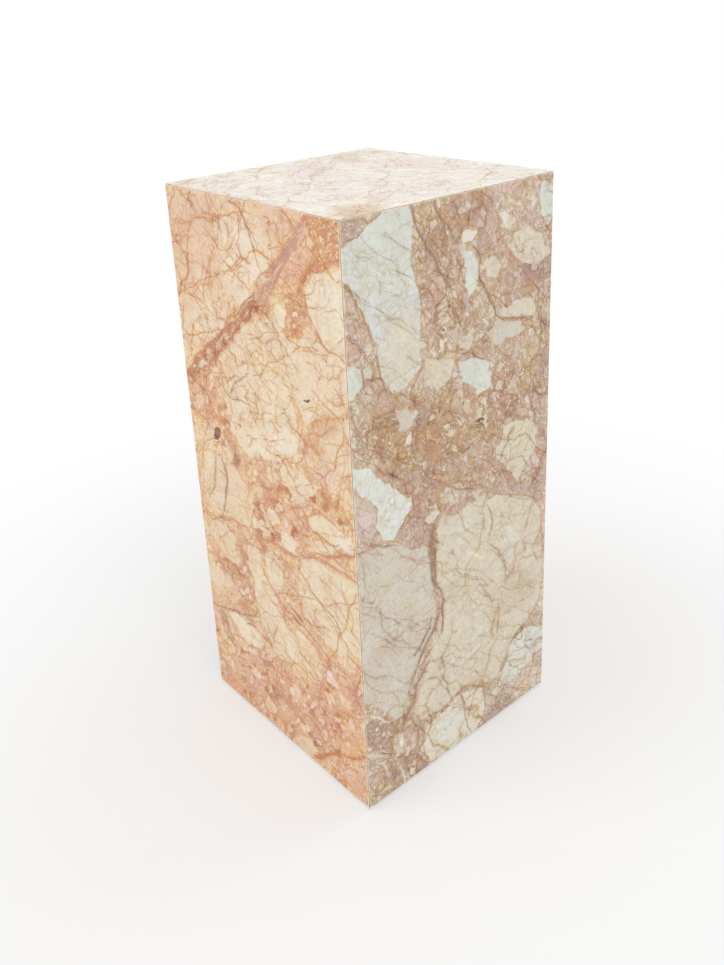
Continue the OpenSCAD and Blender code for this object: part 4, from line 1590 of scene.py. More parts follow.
            rind = shade.times(shade.step(rim, 1.7 * joint, 0.8 * joint), chosen)
            tone = shade.mix(shade.times(rind, 0.75), tone, stain)
            edges = rind if edges is None else shade.math("MAXIMUM", edges, rind)
        return shade.give(Tone=shade.mix(amount, base, tone), Height=shade.times(edges, amount))

    def _vein(self) -> Tree:
        """Lays one layer of veins over a tone.

        Returns:
            The group's tree.
        """
        shade = GroupShade("vein_layer", Tone=GREY, Field=(9, 9, 0, 1), Opacity=0.0, Half_Width=1.0,
                           Sway=0.0, Grain=0.5)
        given = shade.given
        side, distance, hue = shade.channels(given["Field"])
        side = shade.math("ABSOLUTE", shade.math("ADD", side, given["Sway"]))
        side = shade.math("DIVIDE", side, given["Half Width"])
        halo = shade.times(shade.step(side, 3.4, 0.8), 0.25)
        cover = shade.times(shade.step(distance, 7.5, 5.5), given["Opacity"])
        fade = shade.step(given["Grain"], 0.32, 0.52, 0.3, 1.0)
        mask = shade.times(shade.step(side, 1.15, 0.55), cover, fade)
        ramp = shade.add("ValToRGB", hue)
        ramp.color_ramp.interpolation = "CONSTANT"
        stops = ramp.color_ramp.elements
        while len(stops) > 1:
            stops.remove(stops[-1])
        for index, hue_stop in enumerate(Hue):
            at = hue_stop.place - self.hue_stop_lead
            stop = stops[0] if index == 0 else stops.new(at)
            stop.position = at
            stop.color = (*hue_stop.tint.linear, 1.0)
        bled = shade.mix(shade.times(halo, cover), given["Tone"], ramp.outputs[0])
        return shade.give(Tone=shade.mix(mask, bled, ramp.outputs[0]), Mask=mask)

    def _clouds(self) -> Tree:
        """Slow and fine changes from pale cream to stained rust.

        Returns:
            The group's tree.
        """
        shade = GroupShade("stone_clouds", Point=None, Tone=GREY, Amount=1.0)
        point, amount = shade.given["Point"], shade.given["Amount"]
        parts = [shade.swing(shade.noise(point, size, 1.0), strength) for size, strength in self.cloud_waves]
        parts += [shade.swing(shade.random_parts(point, size)[0], strength)
                  for size, strength in self.crystal_sizes]
        level = parts[0]
        for part in parts[1:]:
            level = shade.math("ADD", level, part)
        gain = shade.vector("MULTIPLY_ADD", shade.times(level, amount), (0.55, 1.0, 1.3), (1.0, 1.0, 1.0))
        tone = shade.vector("MULTIPLY", shade.given["Tone"], gain)
        hue = shade.noise(point, 12, 3.0, 0.65)
        for low, high, cast in ((0.52, 0.62, (1.0, 0.93, 0.70)), (0.48, 0.38, (1.0, 0.95, 1.04))):
            tone = shade.stain(shade.times(shade.step(hue, low, high), amount, 0.55), tone, cast)
        return shade.give(Tone=tone)

    @staticmethod
    def _saw_marks() -> Tree:
        """Lines that a saw leaves across a strip or a slab's back.

        Returns:
            The group's tree.
        """
        shade = GroupShade("saw_marks", Point=None, Pitch=4 * MM)
        point = shade.given["Point"]
        waver = shade.times(shade.noise(point, 50, 2.0), 3 * MM)
        height = shade.math("ADD", shade.add("SeparateXYZ", point).outputs[2], waver)
        turns = shade.math("DIVIDE", height, shade.given["Pitch"])
        wave = shade.times(shade.math("SINE", shade.times(turns, 2 * math.pi)), 0.25)
        return shade.give(Mask=shade.math("ADD", wave, shade.noise(point, 2, 3.0, 0.7)))


@dataclass(frozen=True)
class Finish:
    """A surface finish, with the values that are the same all over it."""

    name: str
    roughness: float = 0.5
    ior: float = 1.5
    sheen: float = 0.0

    def start(self) -> tuple[Material, Shade, Node]:
        """Makes an empty material with its shader.

        Returns:
            The material, its builder and its Principled shader.
        """
        material = bpy.data.materials.new(self.name)
        material.use_nodes = True
        shader = material.node_tree.nodes["Principled BSDF"]
        shader.inputs["Roughness"].default_value = self.roughness
        shader.inputs["IOR"].default_value = self.ior
        shader.inputs["Sheen Weight"].default_value = self.sheen
        return material, Shade(material.node_tree), shader

    @staticmethod
    def relieve(shade: Shade, shader: Node, height: Socket, strength: float, depth: float) -> None:
        """Roughens the surface under the light.

        Args:
            shade: The material's builder.
            shader: Its Principled shader.
            height: The relief, from 0 to 1.
            strength: Its strength.
            depth: Its depth in millimetres.
        """
        bump = shade.add("Bump")
        for name, value in (("Strength", strength), ("Distance", depth * MM), ("Height", height)):
            shade.feed(bump.inputs[name], value)
        shade.feed(shader.inputs["Normal"], bump.outputs[0])


@dataclass(frozen=True)
class CrackSet:
    """Cracks of one kind: spacing and width in millimetres, strength, and the patches they keep to."""

    spacing: float
    width: float
    strength: float
    channel: int
    across: Way | None = None


@dataclass(frozen=True)
class PolishedMarble(Finish):
    """Polished breccia marble, which reads the fields painted on its slab.

    Stains are what a colour is multiplied by: brown, then yellow, each on cool and then on warm faces, whose
    warmth is partly painted light.
    """

    relief: float = 0.12
    crack_sets: tuple[CrackSet, ...] = (
        CrackSet(27, 0.7, 1.2, 0, (0.55, 0.45, 0.70)), CrackSet(36, 0.8, 1.2, 1, (0.75, -0.55, -0.37)),
        CrackSet(21, 0.6, 1.05, 2, (-0.30, 0.62, 0.72)), CrackSet(43, 0.8, 1.2, 2, (0.85, 0.48, -0.20)),
        CrackSet(17, 0.5, 0.9, 0, (0.20, -0.15, 0.97)), CrackSet(30, 0.7, 0.75, 1),
        CrackSet(12, 0.5, 0.675, 0))
    stains: tuple[tuple[Colour, Colour], ...] = (
        ((0.80, 0.65, 0.54), (0.87, 0.66, 0.50)), ((0.83, 0.69, 0.45), (0.90, 0.72, 0.42)))
    deep_stains: tuple[tuple[Colour, Colour], ...] = (
        ((0.66, 0.49, 0.37), (0.78, 0.52, 0.40)), ((0.72, 0.56, 0.34), (0.82, 0.60, 0.34)))

    def build(self, groups: StoneGroups) -> Material:
        """Builds the material.

        Args:
            groups: The shared node groups.

        Returns:
            The material.
        """
        material, shade, shader = self.start()
        point = shade.place()
        bent = shade.group(groups.bend, Point=point)
        patch = shade.noise(point, 38, 3.0, 0.6, output=1)
        patches = shade.channels(patch)
        stone = shade.attribute("stone_field")
        grit, crackle, rim = shade.channels(stone["Color"])
        piece = shade.attribute("fragment_field")
        distance, piece_crackle, soft = shade.channels(piece["Color"])
        edge = shade.group(groups.ragged, Point=point, Distance=distance, Soft=soft)
        inside = edge["Mask"]
        ground = shade.attribute("stone_ground")
        warmth = ground["Alpha"]
        yellow = shade.step(shade.noise(point, 50, 2.0, 0.6), 0.42, 0.58)
        stain, deep = (shade.mix(yellow, *(shade.mix(warmth, *pair) for pair in stains))
                       for stains in (self.stains, self.deep_stains))
        tone = shade.mix(inside, ground["Color"], shade.attribute("stone_fragment")["Color"])
        amount = shade.blend(inside, grit, piece["Alpha"])
        crushed = shade.group(groups.crushed, Point=bent["Bedded"], Patch=patch, Tone=tone, Stain=stain,
                              Pale=shade.mix(warmth, Tint.GREY_CREAM, Tint.YELLOW_CREAM), Amount=amount,
                              Coarse=stone["Alpha"])
        shore = shade.times(shade.step(edge["Distance"], -4.5, -0.4), shade.math("SUBTRACT", 1.0, inside))
        shore = shade.times(shore, shade.step(patches[1], 0.40, 0.60, 0.3, 0.8))
        tone = shade.stain(shore, crushed["Tone"], stain)
        cracks = shade.blend(inside, crackle, piece_crackle)
        tone, lines = self._crack(shade, groups, bent, patches, tone, cracks, (stain, deep))
        grain = shade.noise(point, 5, 3.0, 0.6)
        tone, lines = self._vein(shade, groups, point, grain, tone, lines)
        cloudy = shade.step(amount, 0.1, 0.5, 0.7, 1.1)
        tone = shade.group(groups.clouds, Point=point, Tone=tone, Amount=cloudy)["Tone"]
        # Partly painted highlight, partly paler worn stone: within about 2 mm of each outer edge the stone is
        # lightened towards white cream, for the light that the eased arrises catch.
        tone = shade.mix(shade.times(shade.step(rim, 2.2, 0.9), 0.6), tone, Tint.WHITE_CREAM)
        sunk = shade.attribute("pit_depth")["Fac"]
        shade.feed(shader.inputs["Base Color"], self._sink(shade, point, grain, sunk, tone))
        rough = shade.math("MULTIPLY_ADD", amount, 0.12, self.roughness)
        rough = shade.math("MULTIPLY_ADD", lines, 0.12, rough)
        rough = shade.math("ADD", rough, shade.step(sunk, 0.1, 0.5, 0.0, 0.35), clamp=True)
        shade.feed(shader.inputs["Roughness"], rough)
        dip = shade.math("MULTIPLY_ADD", crushed["Height"], -0.4, shade.times(lines, -0.6))
        self.relieve(shade, shader, dip, 0.5, self.relief)
        return material

    def _crack(self, shade: Shade, groups: StoneGroups, bent: dict[str, Socket], patches: list[Socket],
               tone: Socket, cracks: Socket, stains: tuple[Socket, Socket]) -> tuple[Socket, Socket]:
        """Draws every set of cracks over the tone.

        Args:
            shade: The material's builder.
            groups: The shared node groups.
            bent: The bent points.
            patches: Random fields that say where cracks show.
            tone: The colour so far.
            cracks: How strongly this stone is cracked.
            stains: The light and the deep stain.

        Returns:
            The new colour, and the mask of all cracks.
        """
        stain, deep = stains
        lines: Socket | None = None
        for cracked in self.crack_sets:
            patch, width = patches[cracked.channel], cracked.width * MM
            if cracked.across:
                net = shade.group(groups.cracks, Point=bent["Faulted"], Patch=patch, Width=width,
                                  Spacing=cracked.spacing * MM, Across=cracked.across)
            else:
                net = shade.group(groups.craze, Point=bent["Fine"], Patch=patch, Width=width,
                                  Cell=cracked.spacing * MM)
            mask = shade.math("MULTIPLY", shade.times(net["Line"], cracks), cracked.strength, clamp=True)
            tone = shade.mix(mask, tone, shade.stain(1.0, tone, deep))
            lines = mask if lines is None else shade.math("MAXIMUM", lines, mask)
            tone = shade.stain(shade.times(net["Stain"], cracks, 0.3), tone, stain)
        return tone, lines

    @staticmethod
    def _vein(shade: Shade, groups: StoneGroups, point: Socket, grain: Socket, tone: Socket,
              lines: Socket) -> tuple[Socket, Socket]:
        """Draws the painted veins over the tone.

        Args:
            shade: The material's builder.
            groups: The shared node groups.
            point: Object coordinates.
            grain: Fine noise that breaks the veins up.
            tone: The colour so far.
            lines: Mask of the cracks.

        Returns:
            The new colour, and the mask of cracks and veins.
        """
        sway = shade.swing(shade.noise(point, 7, 3.0, 0.6), 5.0)
        widths = shade.attribute("vein_widths")
        for layer, half_width in enumerate([*shade.channels(widths["Color"]), widths["Alpha"]]):
            reading = shade.attribute(f"vein_{layer}")
            vein = shade.group(groups.vein, Tone=tone, Field=reading["Color"], Opacity=reading["Alpha"],
                               Half_Width=half_width, Sway=sway, Grain=grain)
            tone = vein["Tone"]
            lines = shade.math("MAXIMUM", lines, vein["Mask"])
        return tone, lines

    @staticmethod
    def _sink(shade: Shade, point: Socket, grain: Socket, sunk: Socket, tone: Socket) -> Socket:
        """Gives the open pits a pale rim and a brown hollow.

        Args:
            shade: The material's builder.
            point: Object coordinates.
            grain: Fine noise that breaks the rim up.
            sunk: Depth of the pits in millimetres.
            tone: The colour so far.

        Returns:
            The new colour.
        """
        rim = shade.times(shade.step(sunk, 0.02, 0.12), shade.step(sunk, 0.45, 0.2),
                          shade.step(grain, 0.40, 0.55))
        # Painted shade with the stone's brown: the colour turns to brown and dark brown as the pit deepens.
        hollow = shade.mix(shade.step(shade.noise(point, 6, 2.0), 0.42, 0.58), Tint.BROWN, Tint.DARK_BROWN)
        return shade.mix(shade.step(sunk, 0.25, 0.7), shade.mix(rim, tone, Tint.PALE_CREAM), hollow)


@dataclass(frozen=True)
class SawnStone(Finish):
    """Marble as the saw leaves it, with saw marks at a pitch in millimetres."""

    tint: Tint = Tint.GREY_BEIGE
    pitch: float = 3.5

    def build(self, groups: StoneGroups) -> Material:
        """Builds the material.

        Args:
            groups: The shared node groups.

        Returns:
            The material.
        """
        material, shade, shader = self.start()
        point = shade.place()
        tone = shade.mix(shade.step(shade.noise(point, 50, 4.0, 0.6), 0.42, 0.62), self.tint, Tint.TAN)
        tone = shade.group(groups.crushed, Point=point, Tone=tone, Pale=Tint.GREY_CREAM, Amount=0.5)["Tone"]
        tone = shade.group(groups.clouds, Point=point, Tone=tone)["Tone"]
        marks = shade.group(groups.saw_marks, Point=point, Pitch=self.pitch * MM)["Mask"]
        tone = shade.mix(shade.step(marks, 0.35, 0.8, 0.0, 0.3), tone, Tint.WHITE_STONE)
        shade.feed(shader.inputs["Base Color"], tone)
        shade.feed(shader.inputs["Roughness"], shade.step(marks, 0.2, 0.9, 0.6, 0.85))
        self.relieve(shade, shader, marks, 0.6, 0.3)
        return material


@dataclass(frozen=True)
class CuredResin(Finish):
    """Resin with dust and cloudiness in it."""

    tint: Colour = (150, 104, 70)
    pale: Colour = (196, 156, 116)

    def build(self, groups: StoneGroups) -> Material:
        """Builds the material.

        Args:
            groups: The shared node groups.

        Returns:
            The material.
        """
        material, shade, shader = self.start()
        point = shade.place()
        share = shade.step(shade.noise(point, 12, 4.0, 0.65), 0.36, 0.66)
        tone = shade.mix(share, to_linear(self.tint), to_linear(self.pale))
        tone = shade.group(groups.clouds, Point=point, Tone=tone, Amount=1.2)["Tone"]
        shade.feed(shader.inputs["Base Color"], tone)
        dust = shade.noise(point, 2, 3.0, 0.6)
        rough = shade.step(dust, 0.3, 0.7, self.roughness, self.roughness + 0.2)
        shade.feed(shader.inputs["Roughness"], rough)
        self.relieve(shade, shader, dust, 0.4, 0.2)
        return material


@dataclass(frozen=True)
class WoolFelt(Finish):
    """Dense felt of mixed fibres, with swirl and fibre sizes in millimetres."""

    tint: Colour = (74, 64, 56)
    fleck: Colour = (128, 116, 104)
    swirl: float = 4.0
    fibre: float = 1.1

    def build(self) -> Material:
        """Builds the material.

        Returns:
            The material.
        """
        material, shade, shader = self.start()
        point = shade.place()
        turned = shade.scaled(shade.noise(point, self.swirl, 3.0, 0.7, output=1), self.swirl * MM)
        tangled = shade.vector("MULTIPLY", shade.vector("ADD", point, turned), (1.0, 1.0, 3.0))
        fibres = shade.noise(tangled, self.fibre, 4.0, 0.75)
        tone = shade.mix(shade.step(fibres, 0.5, 0.75), to_linear(self.tint), to_linear(self.fleck))
        shade.feed(shader.inputs["Base Color"], tone)
        self.relieve(shade, shader, fibres, 0.9, 0.6)
        return material


class Face(Enum):
    """A face of the plinth: its name, its sideways axis and its upward axis."""

    FRONT = ("front", (1, 0, 0), (0, 0, 1))
    RIGHT = ("right", (0, 1, 0), (0, 0, 1))
    BACK = ("back", (-1, 0, 0), (0, 0, 1))
    LEFT = ("left", (0, -1, 0), (0, 0, 1))
    TOP = ("top", (1, 0, 0), (0, 1, 0))

    @property
    def label(self) -> str:
        """The face's name."""
        return self.value[0]

    @property
    def axes(self) -> tuple[Vector, Vector, Vector]:
        """Sideways, upward and inward axes."""
        across, up = Vector(self.value[1]), Vector(self.value[2])
        return across, up, -across.cross(up)


@dataclass(frozen=True)
class PlinthSizes:
    """Sizes in millimetres that the slabs share, taken from the frame where it holds them."""

    width: float
    depth: float
    height: float
    foot: float
    slab: float
    arris: float = 1.4
    seam: float = 0.6
    foot_arris: float = 2.2
    inner_arris: float = 1.0

    @property
    def mitre_back(self) -> float:
        """How far a mitred face stands back from the mitre's middle plane."""
        return self.seam / math.sqrt(2)

    @classmethod
    def from_frame(cls) -> "PlinthSizes":
        """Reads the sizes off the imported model.

        Returns:
            The sizes.
        """
        low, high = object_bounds()
        slab_low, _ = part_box("front_slab")
        top_low, top_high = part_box("top_slab")
        return cls(width=(high.x - low.x) / MM, depth=(high.y - low.y) / MM, height=high.z / MM,
                   foot=slab_low.z / MM, slab=(top_high.z - top_low.z) / MM)


def add_object(name: str, data: bpy.types.ID) -> Object:
    """Adds an object with its data to the scene.

    Args:
        name: The object's name.
        data: Its mesh, lamp or camera.

    Returns:
        The object.
    """
    made = bpy.data.objects.new(name, data)
    bpy.context.scene.collection.objects.link(made)
    return made


def dress(endings: tuple[str, ...], finish: Material) -> None:
    """Gives a finish to every node of the frame whose name ends in one of the endings.

    Args:
        endings: The endings.
        finish: The finish.
    """
    for name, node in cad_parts.items():
        if name.endswith(endings):
            node.data.materials.clear()
            node.data.materials.append(finish)
            LOG.info("%s: %s", name, finish.name)


@dataclass(frozen=True)
class Chip:
    """A chip in an edge, in face millimetres."""

    at: Point
    reach: float
    depth: float


@dataclass
class MitredSlab:
    """One polished slab, with its mitres, its eased arrises and the wear on them, in millimetres."""

    face: Face
    sizes: PlinthSizes
    pattern: FacePattern
    seed: int
    chips: tuple[Chip, ...] = ()
    pitch: float = 2.3
    wear: float = 0.45
    arris_rows: tuple[float, ...] = (0.0, 0.7, 1.6)
    arris_band: float = 3.0
    mitre_band: float = 8.0

    @property
    def span(self) -> float:
        """Width of the face."""
        return self.sizes.depth if self.face in (Face.RIGHT, Face.LEFT) else self.sizes.width

    @property
    def rise(self) -> float:
        """Height of the face, or the depth of the top."""
        return self.sizes.depth if self.face is Face.TOP else self.sizes.height

    @property
    def foot(self) -> float:
        """Height at which the slab starts."""
        return 0.0 if self.face is Face.TOP else self.sizes.foot

    def _rows(self, start: float, end: float, first: float, last: float) -> Array:
        """Grid positions with a few close rows along each arris.

        Args:
            start: First position.
            end: Last position.
            first: Width of the arris at the start.
            last: Width of the arris at the end.

        Returns:
            Positions in millimetres.
        """
        near, far = start + first, end - last
        steps = np.array(self.arris_rows)
        count = int((far - near - 2 * self.arris_band) / self.pitch) + 1
        middle = np.linspace(near + self.arris_band, far - self.arris_band, count)
        return np.concatenate([[start], near + steps, middle, far - steps[::-1], [end]])

    def _surface(self) -> tuple[Array, Array, tuple[int, int]]:
        """Lays out the polished face.

        Returns:
            Places on the face, depths below it, and the grid's size.
        """
        sizes = self.sizes
        tip = (sizes.arris + sizes.mitre_back) / 2
        eased = sizes.arris - tip
        low, low_eased, low_arris = (tip, eased, sizes.arris) if self.face is Face.TOP else (
            self.foot, sizes.foot_arris, sizes.foot_arris)
        across = self._rows(tip, self.span - tip, eased, eased)
        up = self._rows(low, self.rise - tip, low_eased, eased)
        spots = np.stack([part.ravel() for part in np.meshgrid(across, up, indexing="ij")], 1)
        gaps = self._edge_gaps(spots)
        depth = np.maximum(0, sizes.arris - gaps[:, :3].min(1))
        return spots, np.maximum(depth, low_arris - gaps[:, 3]), (len(across), len(up))

    def _edge_gaps(self, spots: Array) -> Array:
        """Distances from the left, right, upper and lower edges."""
        u, z = spots.T
        return np.stack([u, self.span - u, self.rise - z, z - self.foot], 1)

    def _worn(self, spots: Array, depth: Array, sunk: Array) -> tuple[Array, Array]:
        """Sinks the pits, nibbles the arrises, and keeps the slab behind its mitres.

        Args:
            spots: Places on the face.
            depth: Depths below it.
            sunk: Depth of the pits.

        Returns:
            The new places and depths.
        """
        gaps = self._edge_gaps(spots)
        ragged = drift(spots, 7, self.seed + 40) + 0.7 * drift(spots, 3, self.seed + 41)
        depth = depth + sunk + self.wear * ease(gaps.min(1), 2.4, 0.9) * np.clip(ragged - 0.35, 0, 1)
        for chip in self.chips:
            away = np.hypot(*(spots - chip.at).T) + 1.4 * drift(spots, 4, self.seed + 42)
            depth = depth + chip.depth * ease(away, chip.reach, chip.reach * 0.3)
        back = depth + self.sizes.mitre_back
        left, right, upper, lower = (gaps < self.mitre_band).T
        lower = lower & (self.face is Face.TOP)
        low = np.stack([np.where(left, back, -np.inf), np.where(lower, back, -np.inf)], 1)
        high = np.stack([np.where(right, self.span - back, np.inf),
                         np.where(upper, self.rise - back, np.inf)], 1)
        return np.clip(spots, low, high), depth

    @staticmethod
    def _ring(columns: int, rows: int) -> Array:
        """Indices of the grid's border, anticlockwise from the lower left."""
        index = np.arange(columns * rows).reshape(columns, rows)
        return np.concatenate([index[:-1, 0], index[-1, :-1], index[:0:-1, -1], index[0, :0:-1]])

    def _inset(self, ring: Array, depth: float, foot_rise: float) -> Array:
        """Places of a border ring at a depth inside the slab.

        Args:
            ring: Places of the face's border.
            depth: Depth below the face.
            foot_rise: Height of the ring's lower side above the foot.

        Returns:
            Places at that depth.
        """
        back = depth + self.sizes.mitre_back
        low, high = ring.min(0), ring.max(0)
        start = np.array([back, back if self.face is Face.TOP else self.foot + foot_rise])
        end = np.array([self.span - back, self.rise - back])
        return start + (ring - low) / (high - low) * (end - start)

    def _to_space(self, spots: Array, depth: Array) -> Array:
        """Turns places and depths into metres in the frame.

        Args:
            spots: Places on the face.
            depth: Depths below it.

        Returns:
            Points, one a row.
        """
        across, up, inward = (np.array(axis) for axis in self.face.axes)
        half = self.sizes.width / 2 if self.face in (Face.RIGHT, Face.LEFT) else self.sizes.depth / 2
        if self.face is Face.TOP:
            origin = np.array([-self.sizes.width / 2, -self.sizes.depth / 2, self.sizes.height])
        else:
            origin = -inward * half - across * self.span / 2
        return (origin + spots[:, :1] * across + spots[:, 1:] * up + depth[:, None] * inward) * MM

    def build(self, polished: Material, sawn: Material) -> Object:
        """Builds the slab's mesh, with its fields and both its finishes.

        Args:
            polished: Finish of the face, its arrises and its mitres.
            sawn: Finish of the back.

        Returns:
            The slab.
        """
        spots, depth, (columns, rows) = self._surface()
        fields = StonePainter(self.pattern, self.seed).paint(spots, self._edge_gaps(spots).min(1))
        ring = self._ring(columns, rows)
        shoulder, back = self.sizes.slab - self.sizes.inner_arris, self.sizes.slab
        points = [self._to_space(*self._worn(spots, depth, fields.sunk))]
        for level, foot_rise in ((shoulder, 0.0), (back, self.sizes.inner_arris)):
            places = self._inset(spots[ring], level, foot_rise)
            points.append(self._to_space(places, np.full(len(places), level)))
        count = len(spots)
        index = np.arange(count).reshape(columns, rows)
        corners = (index[:-1, :-1], index[1:, :-1], index[1:, 1:], index[:-1, 1:])
        faces = np.stack(corners, -1).reshape(-1, 4).tolist()
        inner = count + np.arange(len(ring))
        loops = [ring, inner, inner + len(ring)]
        for outer, within in zip(loops, loops[1:]):
            faces += np.stack([np.roll(outer, -1), outer, within, np.roll(within, -1)], 1).tolist()
        faces.append(loops[-1][::-1].tolist())
        mesh = bpy.data.meshes.new(f"{self.face.label}_slab")
        mesh.from_pydata(np.vstack(points).tolist(), [], faces)
        mesh.materials.append(polished)
        mesh.materials.append(sawn)
        mesh.polygons[len(faces) - 1].material_index = 1
        self._store(mesh, fields, np.concatenate([np.arange(count), ring, ring]))
        mesh.validate()
        return add_object(f"{self.face.label}_slab_polished", mesh)

    def _store(self, mesh: bpy.types.Mesh, fields: StoneFields, order: Array) -> None:
        """Writes the painted fields on the mesh.

        Args:
            mesh: The slab's mesh.
            fields: The fields of the face's vertices.
            order: Which face vertex each mesh vertex takes its values from.
        """
        count = len(fields.ground)
        coloured = {
            "stone_ground": np.column_stack([fields.ground, np.full(count, self.pattern.warmth)]),
            "stone_fragment": np.column_stack([fields.fragment, np.ones(count)]),
            "fragment_field": fields.fragment_field,
            "stone_field": fields.stone_field,
            "vein_widths": fields.vein_widths,
        }
        coloured |= {f"vein_{layer}": values for layer, values in enumerate(fields.veins)}
        for name, values in coloured.items():
            attribute = mesh.attributes.new(name, "FLOAT_COLOR", "POINT")
            attribute.data.foreach_set("color", values[order].astype(np.float32).ravel())
        attribute = mesh.attributes.new("pit_depth", "FLOAT", "POINT")
        attribute.data.foreach_set("value", fields.sunk[order].astype(np.float32))


class Flow:
    """Builds one geometry tree with named inputs."""

    def __init__(self, name: str, **inputs: float | None) -> None:
        """Starts the tree.

        Args:
            name: The tree's name.
            **inputs: Each input's value in metres, or None for a material.
        """
        self.tree = bpy.data.node_groups.new(name, "GeometryNodeTree")
        for label, value in inputs.items():
            kind = "NodeSocketMaterial" if value is None else "NodeSocketFloat"
            socket = self.tree.interface.new_socket(label, in_out="INPUT", socket_type=kind)
            if value is not None:
                socket.default_value = value
        self.tree.interface.new_socket("Geometry", in_out="OUTPUT", socket_type="NodeSocketGeometry")
        self.given = self.tree.nodes.new("NodeGroupInput").outputs
        self.made = self.tree.nodes.new("NodeGroupOutput")

    def add(self, kind: str, inputs: dict[object, object] | None = None, **settings: object) -> Node:
        """Adds a node.

        Args:
            kind: The node's full type name.
            inputs: Values or links for its inputs, by name or index.
            **settings: Properties to set on it.

        Returns:
            The node.
        """
        node = self.tree.nodes.new(kind)
        for name, value in settings.items():
            setattr(node, name, value)
        for key, value in (inputs or {}).items():
            if isinstance(value, Socket):
                self.tree.links.new(value, node.inputs[key])
            else:
                node.inputs[key].default_value = value
        return node

    def math(self, operation: str, a: object, b: object) -> Socket:
        """Result of one sum on numbers."""
        return self.add("ShaderNodeMath", {0: a, 1: b}, operation=operation).outputs[0]

    def vector(self, x: object = 0.0, y: object = 0.0, z: object = 0.0) -> Socket:
        """A vector from its three parts."""
        return self.add("ShaderNodeCombineXYZ", {0: x, 1: y, 2: z}).outputs[0]

    def finish(self, parts: list[Socket]) -> Tree:
        """Ends the tree in real geometry with its material.

        Args:
            parts: What the tree has made.

        Returns:
            The tree.
        """
        joined = self.add("GeometryNodeJoinGeometry")
        for part in parts:
            self.tree.links.new(part, joined.inputs[0])
        real = self.add("GeometryNodeRealizeInstances", {0: joined.outputs[0]})
        finish = self.given["Material"]
        dressed = self.add("GeometryNodeSetMaterial", {0: real.outputs[0], "Material": finish})
        self.tree.links.new(dressed.outputs[0], self.made.inputs[0])
        return self.tree


def grown(name: str, tree: Tree, **values: object) -> Object:
    """Runs a geometry tree and keeps its result as a plain mesh.

    Args:
        name: Name of the new object.
        tree: The geometry tree.
        **values: Values for the tree's named inputs.

    Returns:
        The object, with no modifier left on it.
    """
    empty = bpy.data.meshes.new(name)
    seedling = add_object(name, empty)
    modifier = seedling.modifiers.new("grow", "NODES")
    modifier.node_group = tree
    for item in tree.interface.items_tree:
        if item.in_out == "INPUT":
            modifier[item.identifier] = values[item.name]
    bpy.context.view_layer.update()
    mesh = bpy.data.meshes.new_from_object(seedling.evaluated_get(bpy.context.evaluated_depsgraph_get()))
    seedling.modifiers.remove(modifier)
    seedling.data = mesh
    bpy.data.meshes.remove(empty)
    mesh.name = name
    return seedling


def woven_net_tree() -> Tree:
    """Sheet of resin with crossing glass strands standing out of it.

    Returns:
        The geometry tree, with the sheet in its XY plane and the strands above it.
    """
    flow = Flow("woven_net", Width=0.25, Height=0.6, Thickness=0.0008, Pitch=0.005, Strand=0.0011,
                Proud=0.0003, Material=None)
    size = flow.given
    sheet_size = flow.vector(size["Width"], size["Height"], size["Thickness"])
    parts = [flow.add("GeometryNodeMeshCube", {"Size": sheet_size}).outputs[0]]
    for across, lift in (("Height", 0.35), ("Width", 0.65)):
        reach = flow.math("SUBTRACT", size[across], size["Pitch"])
        count = flow.math("FLOOR", flow.math("DIVIDE", reach, size["Pitch"]), 0.0)
        half = flow.math("MULTIPLY", reach, 0.5)
        ends = (flow.math("MULTIPLY", half, -1.0), half)
        level = flow.math("ADD", flow.math("MULTIPLY", size["Thickness"], 0.5),
                          flow.math("MULTIPLY", size["Proud"], lift))
        if across == "Height":
            start, end = (flow.vector(0.0, at, level) for at in ends)
            strand_size = flow.vector(size["Width"], size["Strand"], size["Proud"])
        else:
            start, end = (flow.vector(at, 0.0, level) for at in ends)
            strand_size = flow.vector(size["Strand"], size["Height"], size["Proud"])
        line = flow.add("GeometryNodeMeshLine", {"Count": count, "Start Location": start, "Offset": end},
                        mode="END_POINTS", count_mode="TOTAL")
        strand = flow.add("GeometryNodeMeshCube", {"Size": strand_size}).outputs[0]
        rows = flow.add("GeometryNodeInstanceOnPoints", {"Points": line.outputs[0], "Instance": strand})
        parts.append(rows.outputs[0])
    return flow.finish(parts)


@dataclass
class BackingNets:
    """Resin-set glass nets on the backs of the slabs, in millimetres."""

    pitch: float = 5.0
    strand: float = 1.1
    proud: float = 0.3
    sheet_share: float = 0.55

    def build(self, finish: Material) -> None:
        """Makes a woven net in the place of each plain one.

        Args:
            finish: The net's material.
        """
        tree = woven_net_tree()
        for face in Face:
            node = f"{face.label}_net"
            low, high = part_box(node)
            across, up, inward = face.axes
            width, height, thick = (abs((high - low).dot(axis)) for axis in (across, up, inward))
            net = grown(f"{node}_woven", tree, Width=width, Height=height,
                        Thickness=thick * self.sheet_share, Pitch=self.pitch * MM,
                        Strand=self.strand * MM, Proud=self.proud * MM, Material=finish)
            back = (low + high) / 2 - inward * thick * (1 - self.sheet_share) / 2
            turn = Matrix((-across, up, inward)).transposed().to_4x4()
            net.data.transform(Matrix.Translation(back) @ turn)
            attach(net, ROOT)
            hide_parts(node)
            LOG.info("%s: %d faces", net.name, len(net.data.polygons))


